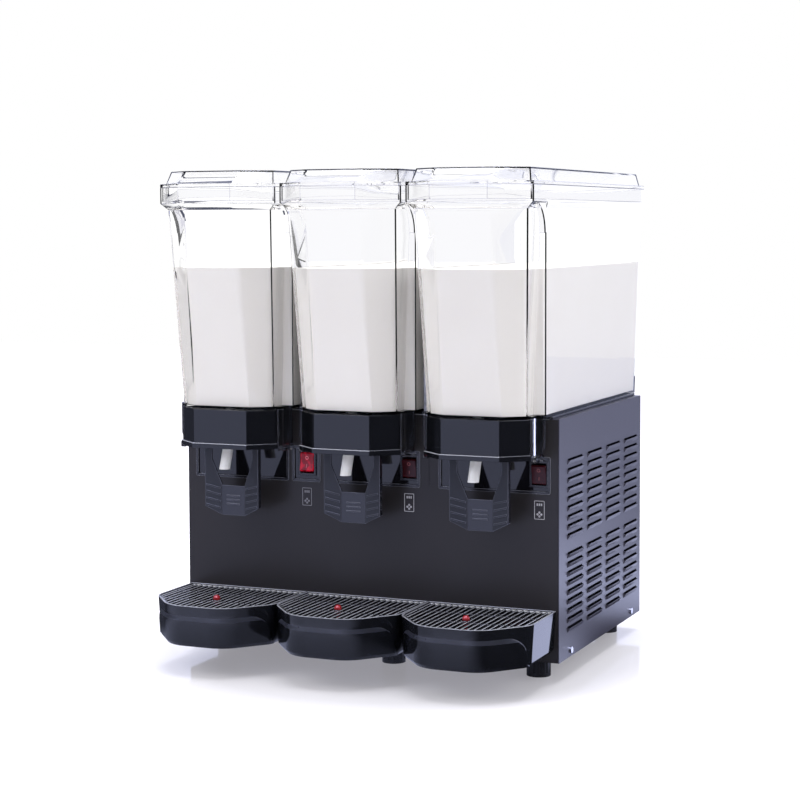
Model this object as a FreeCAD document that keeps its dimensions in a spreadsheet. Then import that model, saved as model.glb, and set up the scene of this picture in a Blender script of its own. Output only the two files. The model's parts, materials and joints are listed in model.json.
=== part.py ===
import FreeCAD, Part
import math
import os
import re
import Sketcher
from FreeCAD import Rotation, Vector

os.makedirs("parts", exist_ok=True)
doc = FreeCAD.newDocument("cold_drink_dispenser")

# Driving dimensions in millimetres and degrees. Places are measured from the cabinet: X from its
# middle, Y back from its front face, Z up from its lower edge. Each group belongs to one sub-part.
SIZES = {
    "cabinet": {
        "pitch": 190,
        "cab_half": 288.5,
        "cab_deep": 395,
        "cab_tall": 337,
        "sheet": 1.2,
        "flange": 14,
        "pan_rim": 24,
        "slip": 0.4,
        "cut_spare": 1,
        "corner_share": 0.4,
        "hinge_gap": 0.05,
    },
    "feet": {
        "foot_tall": 28,
        "foot_knob": 24,
        "foot_plain": 5,
        "foot_radius": 17,
        "foot_flutes": 12,
        "flute_radius": 2.6,
        "stem_radius": 4,
        "stem_top": 14,
        "foot_inset": 43.5,
        "foot_middle": 24,
        "foot_front": 41,
        "foot_back": 36,
    },
    "windows": {
        "window_low": 237,
        "window_high": 283,
        "window_round": 4,
        "first_left": -274.5,
        "first_right": -123.3,
        "button_left": -116.4,
        "button_right": -72.8,
        "second_left": -62,
        "second_right": 82.3,
        "third_left": 111.9,
        "third_right": 275.5,
        "strip_thick": 3,
        "strip_margin": 12,
        "groove_place": 97,
        "groove_wide": 1.4,
        "groove_deep": 0.6,
    },
    "louvres": {
        "louvre_long": 71,
        "louvre_gap": 19.5,
        "louvre_first": 34.5,
        "louvre_columns": 4,
        "louvre_rows": 9,
        "louvre_step": 13.05,
        "louvre_top": 276.6,
        "louvre_block": 130.5,
        "louvre_tall": 7,
        "louvre_brow": 0.5,
        "louvre_taper": 4.2,
        "louvre_out": 3.2,
        "louvre_open": 2.2,
        "louvre_skin": 0.7,
        "rear_slot_long": 70,
        "rear_slot_tall": 4,
        "rear_slot_step": 10,
        "rear_slot_rows": 18,
        "rear_slot_low": 50,
        "rear_slot_left": -10,
        "rear_slot_columns": 3,
        "rear_slot_pitch": 80,
    },
    "screws": {
        "screw_radius": 2,
        "head_radius": 4.6,
        "head_tall": 2.2,
        "screw_long": 9,
        "screw_level": 9,
        "screw_front": 52,
        "screw_back": 49,
    },
    "tank": {
        "tank_wall": 3,
        "tank_floor": 4,
        "tank_low": 341,
        "nose_flat_low": 43.7,
        "nose_reach_low": 77,
        "nose_side_low": 56,
        "nose_half_low": 72.6,
        "neck_level": 624.5,
        "nose_flat_top": 38.6,
        "nose_reach_top": 115.6,
        "nose_side_top": 80.8,
        "nose_half_top": 82.1,
        "shoulder_reach": 32,
        "shoulder_slope": 3,
        "body_half": 89.5,
        "tank_back_low": 394,
        "tank_back_top": 429,
        "arch_radius": 42,
        "rim_low": 633.5,
        "rim_top": 656,
        "rim_flat": 42.3,
        "rim_reach": 128.7,
        "rim_side": 86.5,
        "rim_half": 92,
        "rim_back": 432,
        "drum_hole": 74,
        "clip_long": 53,
        "clip_deep": 21,
        "clip_gap": 0.8,
        "clip_bend": 9,
        "clip_web_low": 300,
        "toe_level": 281.5,
        "toe_tall": 8,
        "toe_wide": 8,
        "toe_near": 50,
        "toe_far": 16,
        "nipple_radius": 9,
        "nipple_bore": 6,
        "nipple_long": 17,
        "nipple_reach": 46,
    },
    "lid": {
        "lid_edge": 5,
        "lid_wall": 2.6,
        "lid_tall": 18,
        "top_flat": 43.4,
        "top_reach": 101,
        "top_side": 72,
        "top_half": 82,
        "top_back": 423,
        "slope_flat": 41.5,
        "slope_reach": 121,
        "slope_side": 80,
        "slope_half": 86,
        "slope_back": 427,
        "lip_drop": 20,
        "lip_gap": 0.6,
    },
    "seat": {
        "seat_plate": 4,
        "seat_wall": 2.6,
        "skirt_flat": 42,
        "skirt_reach": 84,
        "skirt_side": 56,
        "skirt_half": 74,
        "skirt_low": 285.5,
        "seat_lip": 3.5,
        "seat_lip_tall": 7.5,
        "skirt_gap": 0.4,
        "ear_thick": 4,
        "ear_gap": 0.4,
        "anvil_half": 10,
        "anvil_tall": 4,
        "anvil_reach": 67.5,
    },
    "cooling": {
        "drum_radius": 56,
        "drum_sheet": 1.5,
        "drum_tall": 136,
        "drum_edge": 4,
        "drum_centre": 185,
        "drum_flange": 72,
        "seal_tall": 6,
        "seal_gap": 0.3,
        "pin_radius": 3,
        "drum_pin": 14,
        "motor_radius": 32,
        "motor_tall": 56,
        "motor_level": 346,
        "shaft_radius": 4,
        "magnet_radius": 24,
        "magnet_thick": 9,
        "magnet_level": 458,
        "blade_gap": 3,
        "blade_thick": 4,
        "blade_wide": 16,
        "blade_low": 354,
        "hub_radius": 24,
        "hub_tall": 9,
        "hub_lift": 0.5,
        "arm_wide": 12,
        "arm_root": 2,
        "carrier_thick": 3,
        "neck_tall": 6,
        "shaft_end": 1,
        "magnet_hub": 8,
    },
    "spout": {
        "spout_radius": 7.75,
        "spout_bore": 5,
        "spout_reach": 71,
        "spout_low": 255,
        "cup_radius": 11.7,
        "cup_low": 319,
        "cup_gap": 0.3,
        "cup_collar": 15,
        "collar_tall": 4,
        "tube_root": 2,
        "tube_lean": 0.35,
    },
    "lever": {
        "lever_half": 43,
        "lever_pad": 18,
        "lever_front": 51,
        "pad_front": 45,
        "lever_back": 41.5,
        "lever_wall": 3,
        "lever_fold": 0.7,
        "lever_low": 184.5,
        "lever_corner": 197,
        "lever_top": 299,
        "pad_top": 228,
        "arm_low": 266,
        "arm_inner": 33,
        "axle_reach": 44,
        "axle_level": 305,
        "axle_radius": 3,
        "boss_radius": 7.5,
        "boss_wide": 7,
        "bar_low": 288,
        "bar_tall": 5,
        "bar_reach": 48.6,
        "bar_deep": 4.5,
        "arm_root_deep": 5,
        "spring_long": 7,
        "spring_gap": 0.3,
        "spring_thick": 2,
        "grip_ribs": 4,
        "grip_first": 192.5,
        "grip_step": 9.6,
        "grip_drop": 6.5,
        "grip_wide": 3,
        "grip_high": 1.3,
        "grip_slope": 0.48,
        "grip_margin": 2,
        "mark_half": 11,
        "mark_low": 200,
        "mark_step": 6,
        "mark_tall": 2.4,
        "mark_high": 0.9,
    },
    "switches": {
        "switch_first": -93.5,
        "switch_second": 66.5,
        "switch_third": 259.5,
        "switch_level": 260.5,
        "bezel_half": 14,
        "bezel_tall": 18.5,
        "bezel_thick": 2,
        "switch_half": 12,
        "switch_tall": 17,
        "switch_deep": 24,
        "rocker_half": 10.4,
        "rocker_swing": 14.8,
        "rocker_out": 3,
        "rocker_dip": 2.2,
        "rocker_deep": 9,
        "rocker_pivot": 5,
        "rocker_stub": 11.8,
        "stub_radius": 1.5,
        "rocker_tilt": 8,
        "rocker_gap": 0.4,
    },
    "trays": {
        "tray_half": 94.5,
        "tray_reach": 163,
        "tray_flat": 44,
        "tray_side": 102,
        "tray_round": 30,
        "tray_front_round": 52,
        "tray_low": 15,
        "tray_top": 73,
        "tray_draft": 3.5,
        "tray_foot_tall": 5,
        "tray_foot_inset": 3.5,
        "tray_wall": 2.2,
        "tray_gap": 0.5,
        "mouth_slope": 0.3,
        "ledge_wide": 2.6,
        "ledge_level": 68.5,
        "panel_raise": 1.25,
        "panel_top": 60,
        "panel_bevel": 8,
        "panel_half": 89,
        "panel_round": 24,
        "hook_place": 50,
        "hook_half": 8,
        "hook_level": 52,
        "hook_tall": 4,
        "hook_drop": 8,
        "hook_thick": 3,
    },
    "grilles": {
        "slat_pitch": 8.8,
        "slat_wide": 3,
        "grille_frame": 3,
        "grille_gap": 0.4,
        "grille_sink": 1.5,
        "cross_bar": 2,
        "float_reach": 98,
        "float_boss": 7,
        "float_head": 5,
        "float_rise": 6,
        "float_rod": 2,
        "float_gap": 0.4,
        "float_disc": 14,
        "float_thick": 8,
        "float_low": 24,
    },
    "machinery": {
        "comp_radius": 62,
        "comp_tall": 165,
        "comp_round": 22,
        "comp_place": -170,
        "comp_back": 125,
        "comp_mount": 12,
        "comp_foot": 75,
        "comp_plate": 3,
        "cond_wide": 220,
        "cond_deep": 44,
        "cond_tall": 190,
        "cond_place": 110,
        "cond_low": 30,
        "cond_back": 14,
        "cond_plate": 2,
        "cond_tubes": 6,
        "fin_step": 8,
        "fin_thick": 1.2,
        "fan_radius": 82,
        "fan_gap": 4,
        "fan_plate": 3,
        "fan_deep": 26,
        "fan_hub": 26,
        "fan_hub_long": 18,
        "fan_pitch": 7,
        "blade_half": 1,
        "fan_blades": 5,
        "fan_motor": 30,
        "fan_motor_long": 48,
        "fan_axle": 4,
        "fan_axle_gap": 0.3,
        "fan_axle_long": 18,
        "fan_margin": 10,
        "strut_margin": 5,
        "fan_start": 2,
        "fan_chord": 23,
        "pipe_radius": 3.2,
        "pipe_bend": 14,
        "header_level": 318,
        "header_back": 215,
        "header_spare": 20,
        "riser_place": -40,
        "riser_gap": 20,
        "pipe_inset": 20,
        "box_place": 40,
        "box_front": 60,
        "box_wide": 150,
        "box_deep": 60,
        "box_tall": 70,
        "box_wall": 2.5,
        "gland_place": -235,
        "gland_level": 45,
        "gland_radius": 10,
        "gland_bore": 4.2,
        "gland_long": 26,
        "gland_collar": 4,
        "gland_nut": 3,
    },
}

sheet = doc.addObject("Spreadsheet::Sheet", "Dims")
NAMES = []
for group, sizes in SIZES.items():
    for alias, value in sizes.items():
        NAMES.append(alias)
        sheet.set("A%d" % len(NAMES), group)
        sheet.set("B%d" % len(NAMES), str(value))
        sheet.setAlias("B%d" % len(NAMES), alias)
doc.recompute()

# The whole machine stands on its feet at Z 0, with the middle of its outer box over the origin.
SETBACK = "(tray_reach - rim_back) / 2"
STATIONS = {"left": -1, "middle": 0, "right": 1}
SUBPARTS = []


def words(text):
    """An expression in the sheet's own terms, from one written with bare size names."""
    return re.sub(r"[a-z_]+", lambda found: "Dims." + found[0] if found[0] in NAMES else found[0],
                  str(text))


def number(text):
    """The value of such an expression now."""
    return float(sheet.evalExpression(words(text)))


def bind(thing, **sizes):
    """Ties properties of an object to expressions; a double underscore stands for a dot."""
    for prop, text in sizes.items():
        thing.setExpression(prop.replace("__", "."), words(text))
    return thing


def move(thing, across="0", back="0", up="0"):
    """Places a helper solid by expressions."""
    return bind(thing, Placement__Base__x=across, Placement__Base__y=back, Placement__Base__z=up)


def subpart(thing, label, across="0", back="0", up="0"):
    """Names a finished sub-part and stands it in the machine's frame."""
    thing.Label = label
    move(thing, across, "(%s) + (%s)" % (back, SETBACK), "(%s) + foot_tall" % up)
    SUBPARTS.append(thing)
    return thing


def at_stations(thing, kind, back="0"):
    """Repeats a finished piece as one sub-part at each of the three stations."""
    for name, side in STATIONS.items():
        subpart(group(kind + "_copy", [thing]), "%s_%s" % (kind, name), "%d * pitch" % side, back)


def box(name, span_x, span_y, span_z):
    """A block between two places on each axis."""
    block = doc.addObject("Part::Box", name)
    bind(block, Length="(%s) - (%s)" % (span_x[1], span_x[0]))
    bind(block, Width="(%s) - (%s)" % (span_y[1], span_y[0]))
    bind(block, Height="(%s) - (%s)" % (span_z[1], span_z[0]))
    return move(block, span_x[0], span_y[0], span_z[0])


def rod(name, radius, long, across, back, up, along="Z"):
    """A round bar that starts at a place and runs along an axis."""
    bar = doc.addObject("Part::Cylinder", name)
    bind(bar, Radius=radius, Height=long)
    turn = {"X": Rotation(Vector(0, 1, 0), 90), "Y": Rotation(Vector(1, 0, 0), -90), "Z": Rotation()}
    bar.Placement = FreeCAD.Placement(Vector(), turn[along])
    return move(bar, across, back, up)


def fuse(name, *things):
    joined = doc.addObject("Part::MultiFuse", name)
    joined.Shapes = list(things)
    joined.Refine = True
    return joined


def group(name, things):
    """Separate solids that share one sub-part."""
    joined = doc.addObject("Part::Compound", name)
    joined.Links = list(things)
    return joined


def cut(name, base, *tools):
    tool = tools[0] if len(tools) == 1 else fuse(name + "_tools", *tools)
    rest = doc.addObject("Part::Cut", name)
    rest.Base = base
    rest.Tool = tool
    return rest


def common(name, first, second):
    shared = doc.addObject("Part::Common", name)
    shared.Base = first
    shared.Tool = second
    return shared


def mirrored(name, thing):
    """The same solid on the other side of X 0."""
    twin = doc.addObject("Part::Mirroring", name)
    twin.Source = thing
    twin.Normal = Vector(1, 0, 0)
    return twin


def new_body(name):
    return doc.addObject("PartDesign::Body", name)


def outline(body, name, role, offset, *loops):
    """A sketch of closed corner-to-corner loops on one of the body's own planes."""
    sketch = body.newObject("Sketcher::SketchObject", name)
    origin_plane = [feature for feature in body.Origin.OriginFeatures if feature.Role == role][0]
    sketch.AttachmentSupport = (origin_plane, [""])
    sketch.MapMode = "FlatFace"
    bind(sketch, AttachmentOffset__Base__z=offset)
    first = 0
    for corners in loops:
        points = [Vector(number(a), number(b), 0) for a, b in corners]
        count = len(points)
        for i, point in enumerate(points):
            sketch.addGeometry(Part.LineSegment(point, points[(i + 1) % count]), False)
        for i, (across, up) in enumerate(corners):
            after = first + (i + 1) % count
            sketch.addConstraint(Sketcher.Constraint("Coincident", first + i, 2, after, 1))
            for kind, text, value in (("DistanceX", across, points[i].x), ("DistanceY", up, points[i].y)):
                held = sketch.addConstraint(Sketcher.Constraint(kind, -1, 1, first + i, 1, value))
                sketch.setExpression("Constraints[%d]" % held, words(text))
        first += count
    return sketch


def smooth_outline(body, name, level, corners):
    """A horizontal sketch of one loop whose corners, where they carry a radius, are tangent arcs.

    Each corner is its two places and a radius or None; the loop runs counter-clockwise and bulges outwards.
    """
    sketch = outline(body, name, "XY_Plane", level, [corner[:2] for corner in corners])
    count = len(corners)
    points = [Vector(number(a), number(b), 0) for a, b, _ in corners]
    starts = list(points)
    ends = list(points)
    arcs = {}
    for i, (_, _, radius) in enumerate(corners):
        sketch.setConstruction(i, True)
        if radius:
            before = (points[i - 1] - points[i]).normalize()
            after = (points[(i + 1) % count] - points[i]).normalize()
            half_turn = (math.pi - before.getAngle(after)) / 2
            size = number(radius)
            ends[i] = points[i] + before * size * math.tan(half_turn)
            starts[i] = points[i] + after * size * math.tan(half_turn)
            centre = points[i] + (before + after).normalize() * (size / math.cos(half_turn))
            first = math.atan2(ends[i].y - centre.y, ends[i].x - centre.x)
            last = math.atan2(starts[i].y - centre.y, starts[i].x - centre.x)
            arcs[i] = Part.ArcOfCircle(Part.Circle(centre, Vector(0, 0, 1), size), first, last)
    for i in range(count):
        sketch.addGeometry(Part.LineSegment(starts[i], ends[(i + 1) % count]), False)
    for i, arc in arcs.items():
        arcs[i] = sketch.addGeometry(arc, False)
    for i in range(count):
        line = count + i
        following = (i + 1) % count
        if i in arcs:
            sketch.addConstraint(Sketcher.Constraint("PointOnObject", line, 1, i))
        else:
            sketch.addConstraint(Sketcher.Constraint("Coincident", line, 1, i, 1))
        if following in arcs:
            sketch.addConstraint(Sketcher.Constraint("PointOnObject", line, 2, i))
        else:
            sketch.addConstraint(Sketcher.Constraint("Coincident", line, 2, i, 2))
    for i, arc in arcs.items():
        sketch.addConstraint(Sketcher.Constraint("Tangent", count + (i - 1) % count, 2, arc, 1))
        sketch.addConstraint(Sketcher.Constraint("Tangent", arc, 2, count + i, 1))
        held = sketch.addConstraint(Sketcher.Constraint("Radius", arc, number(corners[i][2])))
        sketch.setExpression("Constraints[%d]" % held, words(corners[i][2]))
    return sketch


def rectangle(left, right, low, high):
    return [(left, low), (right, low), (right, high), (left, high)]


def ring(body, name, offset, *radii, reach="0", role="XY_Plane"):
    """A sketch of circles about one place on one of the body's own planes."""
    sketch = body.newObject("Sketcher::SketchObject", name)
    origin_plane = [feature for feature in body.Origin.OriginFeatures if feature.Role == role][0]
    sketch.AttachmentSupport = (origin_plane, [""])
    sketch.MapMode = "FlatFace"
    bind(sketch, AttachmentOffset__Base__z=offset)
    for i, radius in enumerate(radii):
        middle = Vector(0, -number(reach), 0)
        sketch.addGeometry(Part.Circle(middle, Vector(0, 0, 1), number(radius)), False)
        sketch.addConstraint(Sketcher.Constraint("DistanceX", -1, 1, i, 3, 0))
        for kind, text, value in (("DistanceY", "-(%s)" % reach, middle.y),
                                  ("Radius", radius, number(radius))):
            numbers = (i, value) if kind == "Radius" else (-1, 1, i, 3, value)
            held = sketch.addConstraint(Sketcher.Constraint(kind, *numbers))
            sketch.setExpression("Constraints[%d]" % held, words(text))
    return sketch


def pad(body, name, sketch, length, backwards=False, kind="PartDesign::Pad"):
    feature = body.newObject(kind, name)
    feature.Profile = sketch
    feature.Reversed = backwards
    bind(feature, Length=length)
    return feature


def pocket(body, name, sketch, length, backwards=False):
    return pad(body, name, sketch, length, backwards, "PartDesign::Pocket")


def loft(body, name, sketches, kind="PartDesign::AdditiveLoft"):
    feature = body.newObject(kind, name)
    feature.Profile = sketches[0]
    feature.Sections = sketches[1:]
    feature.Ruled = True
    return feature


def revolve(body, name, sketch):
    feature = body.newObject("PartDesign::Revolution", name)
    feature.Profile = sketch
    feature.ReferenceAxis = (sketch, ["V_Axis"])
    feature.Angle = 360
    return feature


# An edge counts as the one at a corner when its middle is within this of the corner.
CORNER_REACH = 4


def round_edges(body, name, radius, places, along=2):
    """Fillets the edges that run along an axis and whose middles lie over the given places."""
    doc.recompute()
    base = body.Tip
    wanted = [(number(a), number(b)) for a, b in places]
    edges = []
    for i, edge in enumerate(base.Shape.Edges):
        bounds = edge.BoundBox
        spans = [bounds.XLength, bounds.YLength, bounds.ZLength]
        middle = list(bounds.Center)
        long = spans.pop(along)
        middle.pop(along)
        near = min(math.dist(middle, place) for place in wanted)
        if long > math.hypot(*spans) and near < CORNER_REACH:
            edges.append("Edge%d" % (i + 1))
    feature = body.newObject("PartDesign::Fillet", name)
    feature.Base = (base, edges)
    bind(feature, Radius=radius)
    return feature


def round_rims(body, name, radius):
    """Fillets every circular edge of a body."""
    doc.recompute()
    base = body.Tip
    edges = ["Edge%d" % (i + 1) for i, edge in enumerate(base.Shape.Edges) if isinstance(edge.Curve,
                                                                                         Part.Circle)]
    feature = body.newObject("PartDesign::Fillet", name)
    feature.Base = (base, edges)
    bind(feature, Radius=radius)
    return feature


def pattern(body, features, *runs):
    """Repeats features along one or more of the body's axes."""
    doc.recompute()
    steps = []
    for role, length, count in runs:
        step = doc.addObject("PartDesign::LinearPattern", "run")
        step.Direction = ([f for f in body.Origin.OriginFeatures if f.Role == role][0], [""])
        bind(step, Length=length, Occurrences=count)
        steps.append(step)
    whole = body.newObject("PartDesign::MultiTransform", "repeats")
    whole.Originals = features
    whole.Transformations = steps
    body.Tip = whole
    return whole


def nose_plan(flat, reach, half, side, shoulder, outer, back):
    """The outline seen from above: a nose of three faces, a shoulder on each side and a long body."""
    right = [(flat, "-(%s)" % reach), (half, "-(%s)" % side), (half, "-(%s)" % shoulder),
             (outer, "-(%s) + shoulder_slope" % shoulder), (outer, back)]
    left = [("-(%s)" % across, place) for across, place in reversed(right)]
    return right + left


def fixed(text, amount):
    return "(%s) - (%s)" % (text, amount)


def inset_plan(flat, reach, half, side, shoulder, outer, back, wall):
    """The same outline, drawn in by a wall."""
    return nose_plan(fixed(flat, "corner_share * (%s)" % wall), fixed(reach, wall), fixed(half, wall),
                     fixed(side, "0.5 * (%s)" % wall), "(%s) - (%s)" % (shoulder, wall),
                     fixed(outer, wall), fixed(back, wall))


LOW_PLAN = ("nose_flat_low", "nose_reach_low", "nose_half_low", "nose_side_low", "shoulder_reach",
            "body_half", "tank_back_low")
NECK_PLAN = ("nose_flat_top", "nose_reach_top", "nose_half_top", "nose_side_top", "shoulder_reach",
             "body_half", "tank_back_top")
RIM_PLAN = ("rim_flat", "rim_reach", "rim_half", "rim_side", "shoulder_reach", "rim_half", "rim_back")
SLOPE_PLAN = ("slope_flat", "slope_reach", "slope_half", "slope_side", "shoulder_reach", "slope_half",
              "slope_back")
TOP_PLAN = ("top_flat", "top_reach", "top_half", "top_side", "shoulder_reach", "top_half", "top_back")


# Base pan: a folded tray of sheet steel with a hole for each foot's stem.
def base_pan():
    body = new_body("base_pan_body")
    edge = "cab_half - sheet - slip"
    near = "sheet + slip"
    far = "cab_deep - sheet - slip"
    outer = rectangle("-(%s)" % edge, edge, near, far)
    pad(body, "pan_block", outline(body, "pan_outer", "XY_Plane", "0", outer), "pan_rim")
    inner = rectangle("-(%s) + sheet" % edge, "%s - sheet" % edge, near + " + sheet", far + " - sheet")
    pocket(body, "pan_hollow", outline(body, "pan_inner", "XY_Plane", "pan_rim", inner), "pan_rim - sheet")
    holes = []
    for side in (-1, 1):
        for place in ("foot_front", "cab_deep - foot_back"):
            holes.append(rod("pan_hole", "stem_radius + hinge_gap", "2 * pan_rim",
                             "%d * (cab_half - foot_inset)" % side, place, "-pan_rim"))
    holes.append(rod("pan_hole", "stem_radius + hinge_gap", "2 * pan_rim", "foot_middle", "foot_front",
                     "-pan_rim"))
    for side in (-1, 1):
        for place in ("screw_front", "cab_deep - screw_back"):
            holes.append(rod("pan_screw_hole", "screw_radius", "pan_rim",
                             "%d * cab_half - pan_rim / 2" % side, place, "screw_level", "X"))
    for side in (-1, 1):
        holes.append(rod("pan_rear_hole", "screw_radius", "pan_rim", "%d * (cab_half - screw_front)" % side,
                         "cab_deep - pan_rim / 2", "screw_level", "Y"))
    subpart(cut("base_pan_cut", body, *holes), "base_pan")


# Front panel: flat sheet with the row of window openings, a groove and slots for the tray hooks.
def front_panel():
    body = new_body("front_panel_body")
    edge = "cab_half - sheet - slip"
    face = rectangle("-(%s)" % edge, edge, "0", "cab_tall - sheet")
    pad(body, "panel_sheet", outline(body, "panel_face", "XZ_Plane", "0", face), "sheet", True)
    spans = (("first_left", "first_right"), ("button_left", "button_right"),
             ("second_left", "second_right"),
             ("third_left", "third_right"))
    windows = [rectangle(left, right, "window_low", "window_high") for left, right in spans]
    sight = outline(body, "panel_windows", "XZ_Plane", "-2 * sheet", *windows)
    pocket(body, "windows", sight, "4 * sheet", True)
    corners = [(edge, level) for span in spans for edge in span for level in ("window_low", "window_high")]
    round_edges(body, "window_rounds", "window_round", corners, 1)
    slots = []
    for station in STATIONS.values():
        for side in (-1, 1):
            middle = "%d * pitch + %d * hook_place" % (station, side)
            slots.append(rectangle("%s - hook_half - slip" % middle, "%s + hook_half + slip" % middle,
                                   "hook_level", "hook_level + hook_drop + hook_tall + slip"))
    pocket(body, "hook_slots", outline(body, "panel_slots", "XZ_Plane", "-2 * sheet", *slots), "4 * sheet",
           True)
    line = rectangle("groove_place - groove_wide / 2", "groove_place + groove_wide / 2", "window_low",
                     "cab_tall - sheet")
    pocket(body, "groove", outline(body, "panel_line", "XZ_Plane", "0", line), "groove_deep", False)
    subpart(body, "front_panel")


# Glossy strip behind the windows, with a hole for each switch.
def control_strip():
    body = new_body("control_strip_body")
    edge = "cab_half - sheet - strip_margin"
    face = rectangle("-(%s)" % edge, edge, "window_low - strip_margin", "window_high + strip_margin")
    pad(body, "strip_plate", outline(body, "strip_face", "XZ_Plane", "-sheet", face), "strip_thick", True)
    holes = []
    for place in ("switch_first", "switch_second", "switch_third"):
        holes.append(rectangle("%s - switch_half - slip" % place, "%s + switch_half + slip" % place,
                               "switch_level - switch_tall - slip", "switch_level + switch_tall + slip"))
    plane = outline(body, "strip_holes", "XZ_Plane", "strip_thick", *holes)
    pocket(body, "switch_holes", plane, "3 * strip_thick + sheet")
    subpart(body, "control_strip")


# Side panels: folded sheet with two blocks of pressed louvres that open upwards.
def side_panels():
    body = new_body("side_panel_body")
    sheet_face = rectangle("0", "cab_deep", "0", "cab_tall")
    pad(body, "side_sheet", outline(body, "side_face", "YZ_Plane", "cab_half", sheet_face), "sheet", True)
    fold = rectangle("cab_half - flange", "cab_half", "0", "cab_deep")
    pad(body, "side_fold", outline(body, "side_flange", "XY_Plane", "cab_tall - sheet", fold), "sheet")
    high = "louvre_top - louvre_block - louvre_step * (louvre_rows - 1)"
    near = "louvre_first"
    far = "louvre_first + louvre_long"
    base = rectangle(near, far, high + " - louvre_tall", high)
    brow = rectangle(near + " + louvre_taper", far + " - louvre_taper", high + " - louvre_brow", high)
    hood = loft(body, "hood", [outline(body, "hood_base", "YZ_Plane", "cab_half - sheet / 2", base),
                               outline(body, "hood_brow", "YZ_Plane", "cab_half + louvre_out", brow)])
    sill = high + " + louvre_open"
    mouth = rectangle(near + " + louvre_skin", far + " - louvre_skin",
                      high + " - louvre_tall + 2 * louvre_skin", sill)
    roof = rectangle(near + " + louvre_taper + louvre_skin", far + " - louvre_taper - louvre_skin",
                     high + " - louvre_skin", sill)
    slot = loft(body, "slot", [outline(body, "slot_mouth", "YZ_Plane", "cab_half - 2 * sheet", mouth),
                               outline(body, "slot_roof", "YZ_Plane", "cab_half + louvre_out - louvre_skin",
                                       roof)],
                "PartDesign::SubtractiveLoft")
    pattern(body, [hood, slot],
            ("Z_Axis", "louvre_step * (louvre_rows - 1)", "louvre_rows"),
            ("Z_Axis", "louvre_block", "2"),
            ("Y_Axis", "(louvre_long + louvre_gap) * (louvre_columns - 1)", "louvre_columns"))
    holes = []
    for place in ("screw_front", "cab_deep - screw_back"):
        holes.append(rod("side_screw_hole", "screw_radius", "4 * sheet", "cab_half - 2 * sheet", place,
                         "screw_level", "X"))
    right = cut("side_panel_cut", body, *holes)
    subpart(mirrored("side_panel_mirror", right), "side_panel_left")
    subpart(group("side_panel_group", [right]), "side_panel_right")


# Rear panel: sheet with columns of slots beside the fan, and the hole for the cable gland.
def rear_panel():
    body = new_body("rear_panel_body")
    edge = "cab_half - sheet - slip"
    face = rectangle("-(%s)" % edge, edge, "0", "cab_tall - sheet")
    pad(body, "rear_sheet", outline(body, "rear_face", "XZ_Plane", "-cab_deep", face), "sheet")
    slot = rectangle("rear_slot_left", "rear_slot_left + rear_slot_long", "rear_slot_low",
                     "rear_slot_low + rear_slot_tall")
    first = pocket(body, "rear_slot", outline(body, "slot_face", "XZ_Plane", "-cab_deep - sheet", slot),
                   "4 * sheet", True)
    pattern(body, [first], ("Z_Axis", "rear_slot_step * (rear_slot_rows - 1)", "rear_slot_rows"),
            ("X_Axis", "rear_slot_pitch * (rear_slot_columns - 1)", "rear_slot_columns"))
    holes = [rod("gland_hole", "gland_radius", "4 * sheet", "gland_place", "cab_deep - 3 * sheet",
                 "gland_level", "Y")]
    for side in (-1, 1):
        holes.append(rod("rear_screw_hole", "screw_radius", "4 * sheet",
                         "%d * (cab_half - screw_front)" % side, "cab_deep - 3 * sheet", "screw_level",
                         "Y"))
    subpart(cut("rear_panel_cut", body, *holes), "rear_panel")


# Top deck: the sheet that carries the seats and the drums.
def top_deck():
    plate = box("deck_plate", ("-cab_half + sheet + flange", "cab_half - sheet - flange"),
                ("sheet + slip", "cab_deep - sheet - slip"), ("cab_tall - sheet", "cab_tall"))
    holes = []
    for side in STATIONS.values():
        holes.append(rod("deck_hole", "drum_radius - drum_sheet", "4 * sheet", "%d * pitch" % side,
                         "drum_centre", "cab_tall - 2 * sheet"))
    subpart(cut("top_deck_cut", plate, *holes), "top_deck")


# Levelling feet: fluted knobs, each on a threaded stem through the base pan.
def foot(label, across, place):
    body = new_body(label + "_body")
    pad(body, "knob", ring(body, "knob_ring", "-foot_tall", "foot_radius"), "foot_knob")
    groove = body.newObject("Sketcher::SketchObject", "flute_ring")
    plane = [feature for feature in body.Origin.OriginFeatures if feature.Role == "XY_Plane"][0]
    groove.AttachmentSupport = (plane, [""])
    groove.MapMode = "FlatFace"
    bind(groove, AttachmentOffset__Base__z="-foot_tall + foot_plain")
    groove.addGeometry(Part.Circle(Vector(sheet.foot_radius, 0, 0), Vector(0, 0, 1), sheet.flute_radius),
                       False)
    groove.addConstraint(Sketcher.Constraint("PointOnObject", 0, 3, -1))
    held = groove.addConstraint(Sketcher.Constraint("DistanceX", -1, 1, 0, 3, sheet.foot_radius))
    groove.setExpression("Constraints[%d]" % held, words("foot_radius + flute_radius / 2"))
    held = groove.addConstraint(Sketcher.Constraint("Radius", 0, sheet.flute_radius))
    groove.setExpression("Constraints[%d]" % held, words("flute_radius"))
    flute = pocket(body, "flute", groove, "foot_tall", True)
    doc.recompute()
    turn = body.newObject("PartDesign::PolarPattern", "flutes")
    turn.Originals = [flute]
    turn.Axis = ([f for f in body.Origin.OriginFeatures if f.Role == "Z_Axis"][0], [""])
    turn.Angle = 360
    bind(turn, Occurrences="foot_flutes")
    body.Tip = turn
    pad(body, "stem", ring(body, "stem_ring", "-foot_tall + foot_knob", "stem_radius"),
        "foot_tall - foot_knob + stem_top")
    subpart(body, label, across, place)


def feet():
    for name, side in (("left", -1), ("right", 1)):
        across = "%d * (cab_half - foot_inset)" % side
        foot("foot_front_" + name, across, "foot_front")
        foot("foot_rear_" + name, across, "cab_deep - foot_back")
    foot("foot_front_middle", "foot_middle", "foot_front")


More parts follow.
